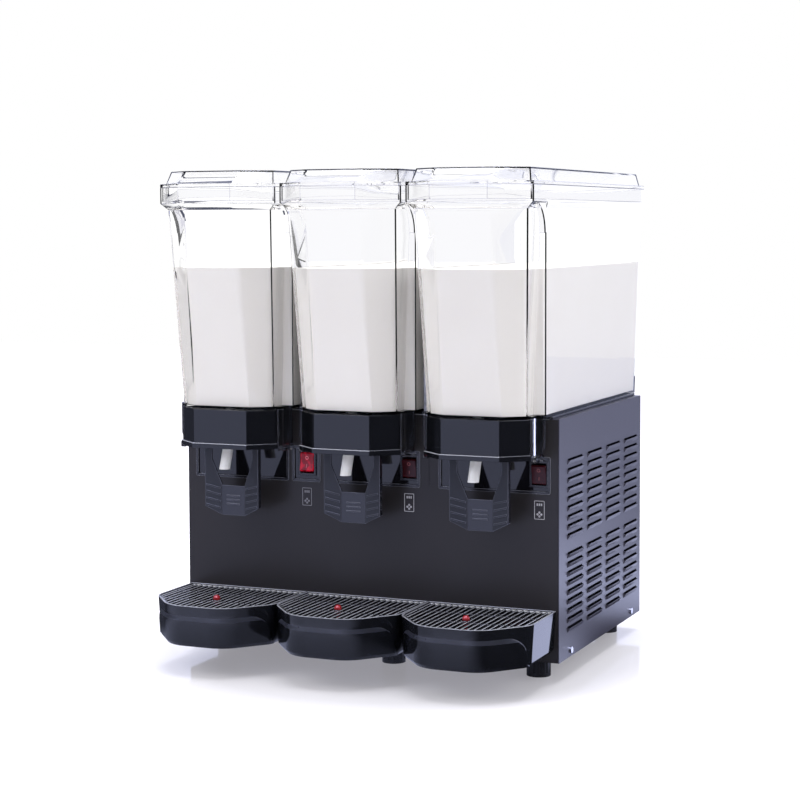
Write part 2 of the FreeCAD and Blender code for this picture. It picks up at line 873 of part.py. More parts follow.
# Panel screws: pan heads on both sides and at the rear.
def panel_screws():
    screws = []
    for side in (-1, 1):
        for place in ("screw_front", "cab_deep - screw_back"):
            inner = "cab_half - screw_long" if side > 0 else "-cab_half - head_tall"
            shank = rod("shank", "screw_radius", "screw_long + head_tall / 2",
                        inner if side > 0 else "-cab_half - head_tall / 2", place, "screw_level", "X")
            head = rod("head", "head_radius", "head_tall", "cab_half" if side > 0 else inner, place,
                       "screw_level", "X")
            screws.append(fuse("side_screw", shank, head))
    for side in (-1, 1):
        across = "%d * (cab_half - screw_front)" % side
        shank = rod("shank", "screw_radius", "screw_long + head_tall / 2", across, "cab_deep - screw_long",
                    "screw_level", "Y")
        head = rod("head", "head_radius", "head_tall", across, "cab_deep", "screw_level", "Y")
        screws.append(fuse("rear_screw", shank, head))
    subpart(group("panel_screws_group", screws), "panel_screws")


# Tanks: a thin clear shell with a nose over the tap, a flared rim, arched webs and two clip legs.
def tanks():
    body = new_body("tank_body")
    sections = [outline(body, "tank_outer", "XY_Plane", level, nose_plan(*plan)) for level, plan in
                (("tank_low", LOW_PLAN), ("neck_level", NECK_PLAN), ("rim_low", RIM_PLAN),
                 ("rim_top", RIM_PLAN))]
    loft(body, "tank_block", sections)
    sections = [outline(body, "tank_inner", "XY_Plane", level, inset_plan(*plan, "tank_wall")) for level,
                plan in
                (("tank_low + tank_floor", LOW_PLAN), ("neck_level", NECK_PLAN), ("rim_low", RIM_PLAN),
                 ("rim_top + cut_spare", RIM_PLAN))]
    loft(body, "tank_hollow", sections, "PartDesign::SubtractiveLoft")

    reach = "-shoulder_reach - arch_radius"
    level = "rim_low - arch_radius"
    block = box("arch_block", ("nose_half_top - tank_wall", "body_half"),
                (reach, "-shoulder_reach + shoulder_slope"),
                (level, "rim_low - cut_spare"))
    bite = rod("arch_bite", "arch_radius", "4 * body_half", "-2 * body_half", reach, level, "X")
    web = cut("arch", block, bite)
    room = box("arch_room", ("nose_half_low - tank_wall", "body_half - tank_wall"),
               (reach, "-shoulder_reach + 2 * tank_wall"), (level, "rim_low + cut_spare"))
    inner_bite = rod("arch_inner_bite", "arch_radius + tank_wall", "4 * body_half", "-2 * body_half", reach,
                     level, "X")
    hollow = cut("arch_hollow", room, inner_bite)

    leg = new_body("clip_body")
    near = "-shoulder_reach - clip_deep"
    end = "tank_low - clip_long"
    high = "tank_low + tank_floor"
    inner = "skirt_half + clip_gap"
    side_view = [(near, high), (near, end), ("-shoulder_reach", end), ("-shoulder_reach", high)]
    pad(leg, "clip_leg", outline(leg, "clip_view", "YZ_Plane", inner, side_view), "tank_wall")
    front_view = [(inner, high), (inner, "toe_level + toe_tall / 2"),
                  (inner + " + toe_wide", "toe_level + toe_tall / 2"),
                  ("body_half", "clip_web_low"), ("body_half", high)]
    pad(leg, "clip_web", outline(leg, "web_view", "XZ_Plane", "shoulder_reach", front_view), "tank_wall")
    round_edges(leg, "web_round", "clip_bend", [("body_half", "clip_web_low")], 1)
    toe = box("clip_toe", (inner, inner + " + toe_wide"), ("-toe_near", "-toe_far"),
              ("toe_level", "toe_level + toe_tall"))
    tab = box("clip_tab", ("nose_half_low - tank_wall", inner + " + tank_wall"),
              (near, "-shoulder_reach + shoulder_slope"), ("tank_low", high))
    clip = fuse("clip", leg, toe, tab)

    nipple = rod("nipple", "nipple_radius", "nipple_long + tank_floor / 2", "0", "-nipple_reach",
                 "tank_low - nipple_long")
    outlet = rod("outlet", "nipple_bore", "nipple_long + 3 * tank_floor", "0", "-nipple_reach",
                 "tank_low - nipple_long - tank_floor")
    hole = rod("drum_opening", "drum_hole", "3 * tank_floor", "0", "drum_centre", "tank_low - tank_floor")
    shell = fuse("tank_shell", body, web, mirrored("arch_left", web), clip, mirrored("clip_left", clip),
                 nipple)
    at_stations(cut("tank_cut", shell, hollow, mirrored("arch_hollow_left", hollow), outlet, hole), "tank")


# Lids: a flange on the tank's rim, a raised middle with sloped sides and a lip inside the rim.
def lids():
    body = new_body("lid_body")
    pad(body, "lid_flange", outline(body, "flange_plan", "XY_Plane", "rim_top", nose_plan(*RIM_PLAN)),
        "lid_edge")
    loft(body, "lid_top", [outline(body, "slope_foot", "XY_Plane", "rim_top + lid_edge",
                                   nose_plan(*SLOPE_PLAN)),
                           outline(body, "slope_top", "XY_Plane", "rim_top + lid_edge + lid_tall",
                                   nose_plan(*TOP_PLAN))])
    lip = "(tank_wall + lip_gap)"
    pad(body, "lid_lip", outline(body, "lip_plan", "XY_Plane", "rim_top", inset_plan(*RIM_PLAN, lip)),
        "lip_drop", True)
    inner = "(tank_wall + lip_gap + lid_wall)"
    loft(body, "lid_hollow", [
        outline(body, "lip_end", "XY_Plane", "rim_top - lip_drop - cut_spare", inset_plan(*RIM_PLAN, inner)),
        outline(body, "lip_root", "XY_Plane", "rim_top + lid_edge - lid_wall",
                inset_plan(*RIM_PLAN, inner)),
        outline(body, "slope_inside", "XY_Plane", "rim_top + lid_edge",
                inset_plan(*SLOPE_PLAN, "lid_wall")),
        outline(body, "top_inside", "XY_Plane", "rim_top + lid_edge + lid_tall - lid_wall",
                inset_plan(*TOP_PLAN, "lid_wall"))], "PartDesign::SubtractiveLoft")
    at_stations(body, "lid")


# Seats: the plate under each tank, its hanging skirt, the ears for the lever and the rib the spout is
# pinched against.
def seats():
    body = new_body("seat_body")
    skirt = [("-skirt_flat", "-skirt_reach"), ("skirt_flat", "-skirt_reach"), ("skirt_half", "-skirt_side"),
             ("skirt_half", "-skirt_gap"), ("-skirt_half", "-skirt_gap"), ("-skirt_half", "-skirt_side")]
    pad(body, "skirt", outline(body, "skirt_plan", "XY_Plane", "skirt_low", skirt), "tank_low - skirt_low")
    near = "-skirt_reach - seat_lip"
    wide = "skirt_half + seat_lip"
    turn = "-skirt_side - corner_share * seat_lip"
    end = "-skirt_side + cut_spare"
    flat = "skirt_flat + corner_share * seat_lip"
    rim = [("-(%s)" % flat, near), (flat, near), (wide, turn), (wide, end), ("skirt_half - cut_spare", end),
           ("-skirt_half + cut_spare", end), ("-(%s)" % wide, end), ("-(%s)" % wide, turn)]
    pad(body, "skirt_lip", outline(body, "lip_plan", "XY_Plane", "skirt_low", rim), "seat_lip_tall")
    inner = "skirt_half - seat_wall"
    flat = "skirt_flat - corner_share * seat_wall"
    turn = "-skirt_side + corner_share * seat_wall"
    inside = [("-(%s)" % flat, "-skirt_reach + seat_wall"), (flat, "-skirt_reach + seat_wall"),
              (inner, turn), (inner, "cut_spare"), ("-(%s)" % inner, "cut_spare"), ("-(%s)" % inner, turn)]
    pocket(body, "skirt_hollow", outline(body, "hollow_plan", "XY_Plane", "tank_low - seat_plate", inside),
           "tank_low - seat_plate - skirt_low + cut_spare")
    plate = rectangle("-body_half", "body_half", "-skirt_gap - cut_spare", "tank_back_low")
    pad(body, "seat_plate_block", outline(body, "plate_plan", "XY_Plane", "cab_tall", plate),
        "tank_low - cab_tall")

    ears = []
    for out in (-1, 1):
        inner = "lever_half + ear_gap"
        span = (inner, inner + " + ear_thick") if out > 0 else ("-(%s) - ear_thick" % inner,
                                                                "-(%s)" % inner)
        ears.append(box("ear", span, ("-axle_reach - boss_radius", "-axle_reach + boss_radius"),
                        ("axle_level - boss_radius", "tank_low - seat_plate / 2")))
    anvil = box("anvil", ("-anvil_half", "anvil_half"), ("-skirt_reach + seat_wall / 2", "-anvil_reach"),
                ("bar_low", "bar_low + anvil_tall"))
    axle = rod("axle_hole", "axle_radius", "4 * lever_half", "-2 * lever_half", "-axle_reach", "axle_level",
               "X")
    drum = rod("drum_pass", "drum_radius", "3 * seat_plate", "0", "drum_centre", "cab_tall - seat_plate")
    cup = rod("cup_pass", "cup_radius", "3 * seat_plate", "0", "-nipple_reach", "cab_tall - seat_plate")
    whole = fuse("seat_block", body, anvil, *ears)
    at_stations(cut("seat_cut", whole, axle, drum, cup), "seat")


# Cooling: in each tank a drum with a motor inside it that turns the impeller through a magnet.
def evaporator_drums():
    drums = []
    for side in STATIONS.values():
        body = new_body("drum_body")
        top = "tank_low + drum_tall"
        inner = "drum_radius - drum_sheet"
        profile = [("0", top + " - drum_sheet"), (inner + " - drum_edge", top + " - drum_sheet"),
                   (inner, top + " - drum_sheet - drum_edge"), (inner, "cab_tall"),
                   ("drum_radius", "cab_tall"),
                   ("drum_radius", "tank_low"), ("drum_flange", "tank_low"),
                   ("drum_flange", "tank_low + drum_sheet"), ("drum_radius", "tank_low + drum_sheet"),
                   ("drum_radius", top + " - drum_edge"), ("drum_radius - drum_edge", top),
                   ("pin_radius", top),
                   ("pin_radius", top + " + drum_pin"), ("0", top + " + drum_pin")]
        revolve(body, "drum", outline(body, "drum_profile", "XZ_Plane", "0", profile))
        drums.append(move(body, "%d * pitch" % side, "drum_centre"))
    subpart(group("drums", drums), "evaporator_drums")


def tank_seals():
    seals = []
    for side in STATIONS.values():
        place = ("%d * pitch" % side, "drum_centre", "tank_low")
        outer = rod("seal_outer", "drum_hole - seal_gap", "seal_tall", *place)
        seals.append(cut("seal", outer, rod("seal_inner", "drum_flange", "seal_tall", *place)))
    subpart(group("seals", seals), "tank_seals")


def stirrer_motors():
    motors = []
    for side in STATIONS.values():
        place = ("%d * pitch" % side, "drum_centre")
        can = rod("motor_can", "motor_radius", "motor_tall", *place, "motor_level")
        carrier = rod("motor_carrier", "drum_radius - drum_sheet", "carrier_thick", *place,
                      "motor_level - carrier_thick")
        neck = rod("motor_neck", "2.5 * shaft_radius", "neck_tall", *place, "motor_level + motor_tall")
        bore = rod("motor_bore", "shaft_radius + hinge_gap", "motor_tall / 2 + neck_tall", *place,
                   "motor_level + motor_tall / 2")
        motors.append(cut("motor", fuse("motor_block", can, carrier, neck), bore))
    subpart(group("motors", motors), "stirrer_motors")


def drive_magnets():
    body = new_body("magnet_body")
    pad(body, "magnet_disc", ring(body, "disc_ring", "magnet_level", "magnet_radius"), "magnet_thick")
    pad(body, "magnet_hub", ring(body, "hub_ring", "magnet_level - magnet_hub", "2 * shaft_radius"),
        "magnet_hub")
    start = "motor_level + motor_tall / 2 + shaft_end"
    pad(body, "shaft", ring(body, "shaft_ring", start, "shaft_radius"), "magnet_level - (%s)" % start)
    at_stations(body, "drive_magnet", "drum_centre")


def impellers():
    body = new_body("impeller_body")
    low = "tank_low + drum_tall + hub_lift"
    near = "drum_radius + blade_gap"
    pad(body, "hub", ring(body, "hub_ring", low, "hub_radius", "pin_radius + hinge_gap"), "hub_tall")
    arms = [rectangle("hub_radius - arm_root", near + " + blade_thick", "-arm_wide / 2", "arm_wide / 2"),
            rectangle("-(%s) - blade_thick" % near, "-hub_radius + arm_root", "-arm_wide / 2",
                      "arm_wide / 2")]
    pad(body, "arms", outline(body, "arm_plan", "XY_Plane", low, *arms), "hub_tall / 2")
    blades = [rectangle(near, near + " + blade_thick", "-blade_wide / 2", "blade_wide / 2"),
              rectangle("-(%s) - blade_thick" % near, "-(%s)" % near, "-blade_wide / 2", "blade_wide / 2")]
    pad(body, "blades", outline(body, "blade_plan", "XY_Plane", "blade_low", *blades),
        low + " + hub_tall / 2 - blade_low")
    at_stations(body, "impeller", "drum_centre")


# Spouts: a soft cup under the tank's outlet and a tube that leans forward.
def spouts():
    body = new_body("spout_body")
    top = "tank_low - cup_gap"
    cup_floor = "tank_low - nipple_long - cup_gap"
    pad(body, "cup", ring(body, "cup_ring", "cup_low", "cup_radius", reach="nipple_reach"),
        "%s - cup_low" % top)
    pad(body, "collar", ring(body, "collar_ring", "cab_tall - collar_tall", "cup_collar",
                             reach="nipple_reach"),
        "collar_tall")
    loft(body, "tube", [ring(body, "tube_low", "spout_low", "spout_radius", reach="spout_reach"),
                        ring(body, "tube_top", "cup_low + tube_root", "spout_radius",
                             reach="nipple_reach")])
    pocket(body, "cup_hollow", ring(body, "cup_inner", top, "nipple_radius + cup_gap",
                                    reach="nipple_reach"),
           "%s - (%s)" % (top, cup_floor))
    loft(body, "tube_bore", [ring(body, "bore_low", "spout_low - cut_spare", "spout_bore",
                                  reach="spout_reach + tube_lean"),
                             ring(body, "bore_top", cup_floor + " + cup_gap", "spout_bore",
                                  reach="nipple_reach")],
         "PartDesign::SubtractiveLoft")
    at_stations(body, "spout")


# Levers: a hollow-backed plate with a dished middle, grip ribs, two arms and the bar that closes the spout.
def levers():
    body = new_body("lever_body")
    inner = "lever_half - lever_wall"
    back_edge = "-lever_front + lever_wall + lever_fold"
    half = [("lever_pad", "-pad_front"), ("lever_half", "-lever_front"), ("lever_half", "-lever_back"),
            (inner, "-lever_back"), (inner, back_edge), ("lever_pad", "-pad_front + lever_wall")]
    plan = [("-" + a if a == "lever_pad" else "-(%s)" % a, b) for a, b in reversed(half)] + half
    pad(body, "plate", outline(body, "plate_plan", "XY_Plane", "lever_low", plan), "lever_top - lever_low")
    corner = [("lever_pad", "lever_low"), ("2 * lever_half - lever_pad", "2 * lever_corner - lever_low"),
              ("2 * lever_half - lever_pad", "lever_low - cut_spare"), ("lever_pad", "lever_low - cut_spare")]
    corners = [corner, [("-(%s)" % a, b) for a, b in reversed(corner)]]
    opening = [("-lever_pad", "pad_top"), ("lever_pad", "pad_top"), ("arm_inner", "arm_low"),
               ("arm_inner", "lever_top + cut_spare"), ("-arm_inner", "lever_top + cut_spare"),
               ("-arm_inner", "arm_low")]
    cuts = outline(body, "plate_cuts", "XZ_Plane", "lever_back - cut_spare", opening, *corners)
    pocket(body, "openings", cuts, "lever_front - lever_back + 2 * cut_spare", True)

    layer = new_body("grip_layer")
    start = "lever_pad + grip_margin"
    end = "lever_half - grip_margin"
    skin = [(start, "-pad_front - grip_slope + cut_spare"), (end, "-lever_front + grip_slope + cut_spare"),
            (end, "-lever_front + grip_slope - grip_high"), (start, "-pad_front - grip_slope - grip_high")]
    pad(layer, "grip_skin", outline(layer, "skin_plan", "XY_Plane", "lever_low", skin),
        "lever_top - lever_low")
    strips = new_body("grip_strips")
    rows = []
    for row in range(int(sheet.grip_ribs)):
        low = "grip_first + %d * grip_step" % row
        rows.append([("lever_pad", low), ("lever_half", low + " + grip_drop"),
                     ("lever_half", low + " + grip_drop + grip_wide"), ("lever_pad", low + " + grip_wide")])
    pad(strips, "grip_rows", outline(strips, "row_view", "XZ_Plane", "0", *rows), "2 * lever_front")
    grip = common("grip", layer, strips)

    extras = []
    for row in range(3):
        low = "mark_low + %d * mark_step" % row
        extras.append(box("mark_bar", ("-mark_half", "mark_half"),
                          ("-pad_front - mark_high", "-pad_front + cut_spare"),
                          (low, low + " + mark_tall")))
    extras.append(box("pinch_bar", ("-lever_half + cut_spare", "lever_half - cut_spare"),
                      ("-bar_reach", "-bar_reach + bar_deep"),
                      ("bar_low", "bar_low + bar_tall")))
    for start in ("-lever_half", "lever_half - boss_wide"):
        extras.append(rod("boss", "boss_radius", "boss_wide", start, "-axle_reach", "axle_level", "X"))
        extras.append(box("arm_root", (start, start + " + boss_wide"),
                          ("-axle_reach - arm_root_deep", "-lever_back"),
                          ("bar_low", "axle_level")))
    bore = rod("lever_bore", "axle_radius + hinge_gap", "4 * lever_half", "-2 * lever_half", "-axle_reach",
               "axle_level", "X")
    whole = fuse("lever_block", body, grip, mirrored("grip_left", grip), *extras)
    at_stations(cut("lever_cut", whole, bore), "lever")


def lever_pins():
    pins = []
    for side in STATIONS.values():
        for start in ("-lever_half - ear_gap - ear_thick", "lever_half - boss_wide - spring_long"):
            pins.append(rod("pin", "axle_radius", "boss_wide + spring_long + ear_gap + ear_thick",
                            "%d * pitch + (%s)" % (side, start), "-axle_reach", "axle_level", "X"))
    subpart(group("pins", pins), "lever_pins")


def lever_springs():
    springs = []
    for side in STATIONS.values():
        for start in ("-lever_half + boss_wide + spring_gap",
                      "lever_half - boss_wide - spring_long + spring_gap"):
            place = ("%d * pitch + (%s)" % (side, start), "-axle_reach", "axle_level", "X")
            outer = rod("coil", "axle_radius + spring_thick", "spring_long - 2 * spring_gap", *place)
            springs.append(cut("spring", outer, rod("coil_bore", "axle_radius", "spring_long", *place)))
    subpart(group("springs", springs), "lever_springs")


# Switches: each rocker turns on two stubs in a housing that fills a hole of the control strip.
def switch_housings():
    housings = []
    for place in ("switch_first", "switch_second", "switch_third"):
        body = new_body("housing_body")
        plate = rectangle("-bezel_half", "bezel_half", "switch_level - bezel_tall",
                          "switch_level + bezel_tall")
        pad(body, "bezel", outline(body, "bezel_view", "XZ_Plane", "-sheet", plate), "bezel_thick")
        case = rectangle("-switch_half", "switch_half", "switch_level - switch_tall",
                         "switch_level + switch_tall")
        pad(body, "case", outline(body, "case_view", "XZ_Plane", "-sheet - switch_deep", case),
            "switch_deep")
        mouth = rectangle("-rocker_half - rocker_gap", "rocker_half + rocker_gap",
                          "switch_level - rocker_swing - rocker_gap",
                          "switch_level + rocker_swing + rocker_gap")
        pocket(body, "mouth", outline(body, "mouth_view", "XZ_Plane", "bezel_thick", mouth),
               "switch_deep + bezel_thick")
        bore = rod("stub_hole", "stub_radius + hinge_gap", "2 * rocker_stub", "-rocker_stub",
                   "sheet + rocker_pivot", "switch_level", "X")
        housings.append(move(cut("housing", body, bore), place))
    subpart(group("housings", housings), "switch_housings")


def rocker(label, place, tilt):
    body = new_body("rocker_body")
    front = "-sheet - rocker_pivot - rocker_out"
    side_view = [(front, "-rocker_swing"), ("rocker_deep", "-0.6 * rocker_swing"),
                 ("rocker_deep", "0.6 * rocker_swing"), (front, "rocker_swing"),
                 (front + " + rocker_dip", "0")]
    pad(body, "rocker_block", outline(body, "rocker_view", "YZ_Plane", "-rocker_half", side_view),
        "2 * rocker_half")
    barrel = rod("rocker_barrel", "rocker_swing", "4 * rocker_half", "-2 * rocker_half", "0", "0", "X")
    stub = rod("rocker_stub", "stub_radius", "2 * rocker_stub", "-rocker_stub", "0", "0", "X")
    whole = fuse("rocker_whole", common("rocker_round", body, barrel), stub)
    turned = doc.addObject("Part::Compound", "rocker_turned")
    turned.Links = [whole]
    whole.Placement = FreeCAD.Placement(Vector(), Rotation(Vector(1, 0, 0), tilt * sheet.rocker_tilt))
    subpart(turned, label, place, "sheet + rocker_pivot", "switch_level")


def rockers():
    rocker("rocker_left", "switch_first", -1)
    rocker("rocker_middle", "switch_second", 1)
    rocker("rocker_right", "switch_third", 1)


# Drip trays: drafted boxes with a rounded front, a raised lower panel and two hooks at the back.
TURN_SHARE = "tan(atan((tray_half - tray_flat) / (tray_reach - tray_side)) / 2)"
NOSE_SHARE = "tan(atan((tray_reach - tray_side) / (tray_half - tray_flat)) / 2)"


def tray_block(name, back, *levels):
    """A solid between outlines at several levels, each drawn in by an amount on its front and sides."""
    body = new_body(name)
    sketches = []
    for level, inset in levels:
        front = "-tray_reach + (%s)" % inset
        flat = "tray_flat - %s * (%s)" % (NOSE_SHARE, inset)
        half = "tray_half - (%s)" % inset
        turn = "-tray_side + %s * (%s)" % (TURN_SHARE, inset)
        nose = "tray_front_round - (%s)" % inset
        cheek = "tray_round - (%s)" % inset
        sketches.append(smooth_outline(body, name + "_plan", level, [
            ("-(%s)" % flat, front, nose), (flat, front, nose), (half, turn, cheek), (half, back, None),
            ("-(%s)" % half, back, None), ("-(%s)" % half, turn, cheek)]))
    loft(body, name + "_loft", sketches)
    return body


def drafted(level):
    """How far the tray's slope has drawn in at a level."""
    return "tray_draft * (tray_top - (%s)) / (tray_top - tray_low)" % level


def trays():
    back = "-tray_gap"
    foot_level = "tray_low + tray_foot_tall"
    outer = tray_block("tray_outer", back, ("tray_low", "tray_draft + tray_foot_inset"),
                       (foot_level, drafted(foot_level)), ("tray_top", "0"))
    shoulder = "panel_top - panel_bevel"
    grown = tray_block("tray_grown", back, ("tray_low", "tray_draft + tray_foot_inset - panel_raise"),
                       (foot_level, drafted(foot_level) + " - panel_raise"),
                       (shoulder, drafted(shoulder) + " - panel_raise"),
                       ("panel_top", drafted("panel_top") + " + panel_raise / 4"))
    front = new_body("tray_front_panel")
    face = rectangle("-panel_half", "panel_half", "tray_low", "panel_top")
    near = "tray_side - panel_bevel"
    pad(front, "front_block", outline(front, "front_view", "XZ_Plane", near, face), "tray_reach")
    round_edges(front, "front_round", "panel_round", [("-panel_half", "panel_top"),
                                                      ("panel_half", "panel_top")], 1)
    raised = common("tray_raised", grown, front)
    floor = "tray_low + tray_wall"
    inner_back = "-tray_gap - tray_wall"
    ledge = "tray_wall + ledge_wide"
    well = tray_block("tray_well", inner_back + " - ledge_wide",
                      (floor, "%s + %s" % (drafted(floor), ledge)),
                      ("ledge_level + slip", ledge))
    mouth = tray_block("tray_mouth", inner_back, ("ledge_level", "tray_wall + mouth_slope"),
                       ("tray_top + cut_spare", "tray_wall"))
    hooks = []
    for out in (-1, 1):
        span = ("%d * hook_place - hook_half" % out, "%d * hook_place + hook_half" % out)
        hooks.append(box("hook_arm", span, ("-tray_gap - tray_wall / 2", "sheet + slip + hook_thick"),
                         ("hook_level + slip", "hook_level + hook_tall")))
        hooks.append(box("hook_tongue", span, ("sheet + slip", "sheet + slip + hook_thick"),
                         ("hook_level - hook_drop", "hook_level + hook_tall")))
    whole = fuse("tray_whole", outer, raised, *hooks)
    at_stations(cut("tray_cut", whole, well, mouth), "tray")


# Grilles: a framed plate of slats that run from front to back, with a boss for the float's rod.
def grilles():
    gap = "tray_wall + mouth_slope + grille_gap"
    low = "ledge_level"
    high = "tray_top - grille_sink"
    back = "-tray_gap - tray_wall - grille_gap"
    plate = tray_block("grille_plate", back, (low, gap), (high, gap))
    inset = gap + " + grille_frame"
    inside = tray_block("grille_inside", back + " - grille_frame", (low + " - cut_spare", inset),
                        (high + " + cut_spare", inset))
    slots = new_body("grille_slots")
    count = "floor(2 * tray_half / slat_pitch)"
    middle = "-slat_pitch * (%s - 1) / 2" % count
    half_gap = "(slat_pitch - slat_wide) / 2"
    lanes = []
    for third in range(3):
        start = "-tray_reach * (3 - %d) / 3" % third
        end = "-tray_reach * (2 - %d) / 3" % third
        lanes.append(rectangle("%s - %s" % (middle, half_gap), "%s + %s" % (middle, half_gap),
                               start + " + cross_bar / 2", end + " - cross_bar / 2"))
    lane = pad(slots, "lanes", outline(slots, "lane_plan", "XY_Plane", low + " - cross_bar", *lanes),
               "tray_top - (%s) + 2 * cross_bar" % low)
    pattern(slots, [lane], ("X_Axis", "slat_pitch * (%s - 1)" % count, count))
    open_lanes = common("grille_lanes", inside, slots)
    boss = rod("float_boss", "float_boss", high + " - ledge_level", "0", "-float_reach", low)
    bore = rod("float_bore", "float_rod + float_gap", "2 * (tray_top - ledge_level)", "0", "-float_reach",
               low + " - cross_bar")
    at_stations(cut("grille_cut", fuse("grille_block", cut("grille_open", plate, open_lanes), boss), bore),
                "grille")


# Floats: a red button over the grille on a rod with a hollow disc that rises with the drips.
def floats():
    place = ("0", "-float_reach")
    stem = rod("float_stem", "float_rod", "tray_top - float_low", *place, "float_low")
    disc = rod("float_disc", "float_disc", "float_thick", *place, "float_low")
    head = new_body("float_head_body")
    top = "tray_top - grille_sink + float_gap"
    profile = [("0", top), ("float_head", top), ("float_head", top + " + 0.5 * float_rise"),
               ("0.6 * float_head", top + " + float_rise"), ("0", top + " + float_rise")]
    revolve(head, "float_head", outline(head, "head_profile", "XZ_Plane", "0", profile))
    move(head, "0", "-float_reach")
    at_stations(fuse("float_whole", stem, disc, head), "float")


# Machinery on the base pan: compressor, condenser with its fan, pipes, wiring box and cable gland.
def compressor():
    body = new_body("compressor_body")
    low = "sheet + comp_mount"
    pad(body, "can", ring(body, "can_ring", low, "comp_radius"), "comp_tall")
    round_rims(body, "can_rounds", "comp_round")
    half = "comp_foot"
    pieces = [body, box("mount_plate", ("-" + half, half), ("-" + half, half),
                        (low, low + " + comp_plate"))]
    for x in (-1, 1):
        for y in (-1, 1):
            pieces.append(rod("mount", "comp_mount", "comp_mount + comp_plate",
                              "%d * (%s - comp_mount)" % (x, half), "%d * (%s - comp_mount)" % (y, half),
                              "sheet"))
    subpart(fuse("compressor_fuse", *pieces), "compressor", "comp_place", "cab_deep - comp_back")


def condenser():
    left = "cond_place - cond_wide / 2"
    right = "cond_place + cond_wide / 2"
    near = "cab_deep - cond_back - cond_deep"
    far = "cab_deep - cond_back"
    high = "cond_low + cond_tall"
    fins = new_body("fin_body")
    face = rectangle(near, far, "cond_low", high)
    fin = pad(fins, "fin", outline(fins, "fin_view", "YZ_Plane", left, face), "fin_thick")
    pattern(fins, [fin], ("X_Axis", "fin_step * floor(cond_wide / fin_step)",
                          "floor(cond_wide / fin_step) + 1"))
    pieces = [fins]
    for level in ("cond_low - cond_plate", high):
        pieces.append(box("cond_plate", (left, right + " + fin_thick"), (near, far),
                          (level, level + " + cond_plate")))
    for x in (left, right + " - cond_plate"):
        pieces.append(box("cond_leg", (x, x + " + cond_plate"), (near, far), ("sheet", "cond_low")))
    for i in range(int(sheet.cond_tubes)):
        level = "cond_low + cond_tall * (%d + 0.5) / cond_tubes" % i
        pieces.append(rod("cond_tube", "pipe_radius", "cond_wide", left,
                          "(%s) / 2 + (%s) / 2" % (near, far),
                          level, "X"))
    subpart(fuse("condenser_fuse", *pieces), "condenser")


FAN_START = "cab_deep - cond_back - cond_deep - fan_deep"
FAN_LEVEL = "cond_low + cond_tall / 2"


def fan_frame():
    half = "(fan_radius + fan_gap + fan_margin)"
    sides = ("cond_place - " + half, "cond_place + " + half)
    shroud = box("shroud", sides, (FAN_START, FAN_START + " + fan_deep"),
                 ("sheet", "%s + %s" % (FAN_LEVEL, half)))
    opening = rod("shroud_hole", "fan_radius + fan_gap", "3 * fan_deep", "cond_place",
                  FAN_START + " - fan_deep",
                  FAN_LEVEL, "Y")
    strut = box("fan_strut", sides, (FAN_START + " - fan_plate", FAN_START),
                (FAN_LEVEL + " - fan_axle - strut_margin", FAN_LEVEL + " + fan_axle + strut_margin"))
    bore = rod("strut_hole", "fan_axle + fan_axle_gap", "4 * fan_plate", "cond_place",
               FAN_START + " - 2 * fan_plate", FAN_LEVEL, "Y")
    whole = fuse("fan_frame_block", cut("shroud_ring", shroud, opening), strut)
    subpart(cut("fan_frame_cut", whole, bore), "fan_frame")


def fan_motor():
    can = rod("fan_can", "fan_motor", "fan_motor_long", "cond_place",
              FAN_START + " - fan_plate - fan_motor_long",
              FAN_LEVEL, "Y")
    axle = rod("fan_axle_rod", "fan_axle", "fan_plate + fan_axle_long", "cond_place",
               FAN_START + " - fan_plate",
               FAN_LEVEL, "Y")
    subpart(fuse("fan_motor_fuse", can, axle), "fan_motor")


def fan_rotor():
    body = new_body("fan_rotor_body")
    pad(body, "fan_hub_block", ring(body, "hub_ring", "0", "fan_hub", role="XZ_Plane"), "fan_hub_long",
        True)
    blade_sections = []
    middle = "fan_hub_long / 2"
    for level, wide in (("0.8 * fan_hub", "0.6 * fan_chord"), ("0.92 * fan_radius", "fan_chord")):
        blade_sections.append(outline(body, "blade_section", "XY_Plane", level, [
            ("-(%s)" % wide, middle + " - fan_pitch - blade_half"),
            (wide, middle + " + fan_pitch - blade_half"),
            (wide, middle + " + fan_pitch + blade_half"),
            ("-(%s)" % wide, middle + " - fan_pitch + blade_half")]))
    blade = loft(body, "blade", blade_sections)
    doc.recompute()
    turn = body.newObject("PartDesign::PolarPattern", "fan_blade_ring")
    turn.Originals = [blade]
    turn.Axis = ([f for f in body.Origin.OriginFeatures if f.Role == "Y_Axis"][0], [""])
    turn.Angle = 360
    bind(turn, Occurrences="fan_blades")
    body.Tip = turn
    bore = ring(body, "bore_ring", "cut_spare", "fan_axle + hinge_gap", role="XZ_Plane")
    pocket(body, "fan_bore", bore, "fan_hub_long + 2 * cut_spare")
    subpart(body, "fan_rotor", "cond_place", FAN_START + " + fan_start", FAN_LEVEL)


def tube(radius, bend, corners):
    """A round bar that follows corner points, with its corners bent to a radius."""
    points = [Vector(*[number(text) for text in corner]) for corner in corners]
    edges = []
    last = points[0]
    for i in range(1, len(points) - 1):
        before = (points[i - 1] - points[i]).normalize() * bend
        after = (points[i + 1] - points[i]).normalize() * bend
        middle = points[i] + (before + after) * (1 - math.sqrt(0.5))
        edges.append(Part.LineSegment(last, points[i] + before).toShape())
        edges.append(Part.Arc(points[i] + before, middle, points[i] + after).toShape())
        last = points[i] + after
    edges.append(Part.LineSegment(last, points[-1]).toShape())
    circle = Part.Wire([Part.makeCircle(radius, points[0], points[1] - points[0])])
    return Part.Wire(edges).makePipeShell([circle], True, False)


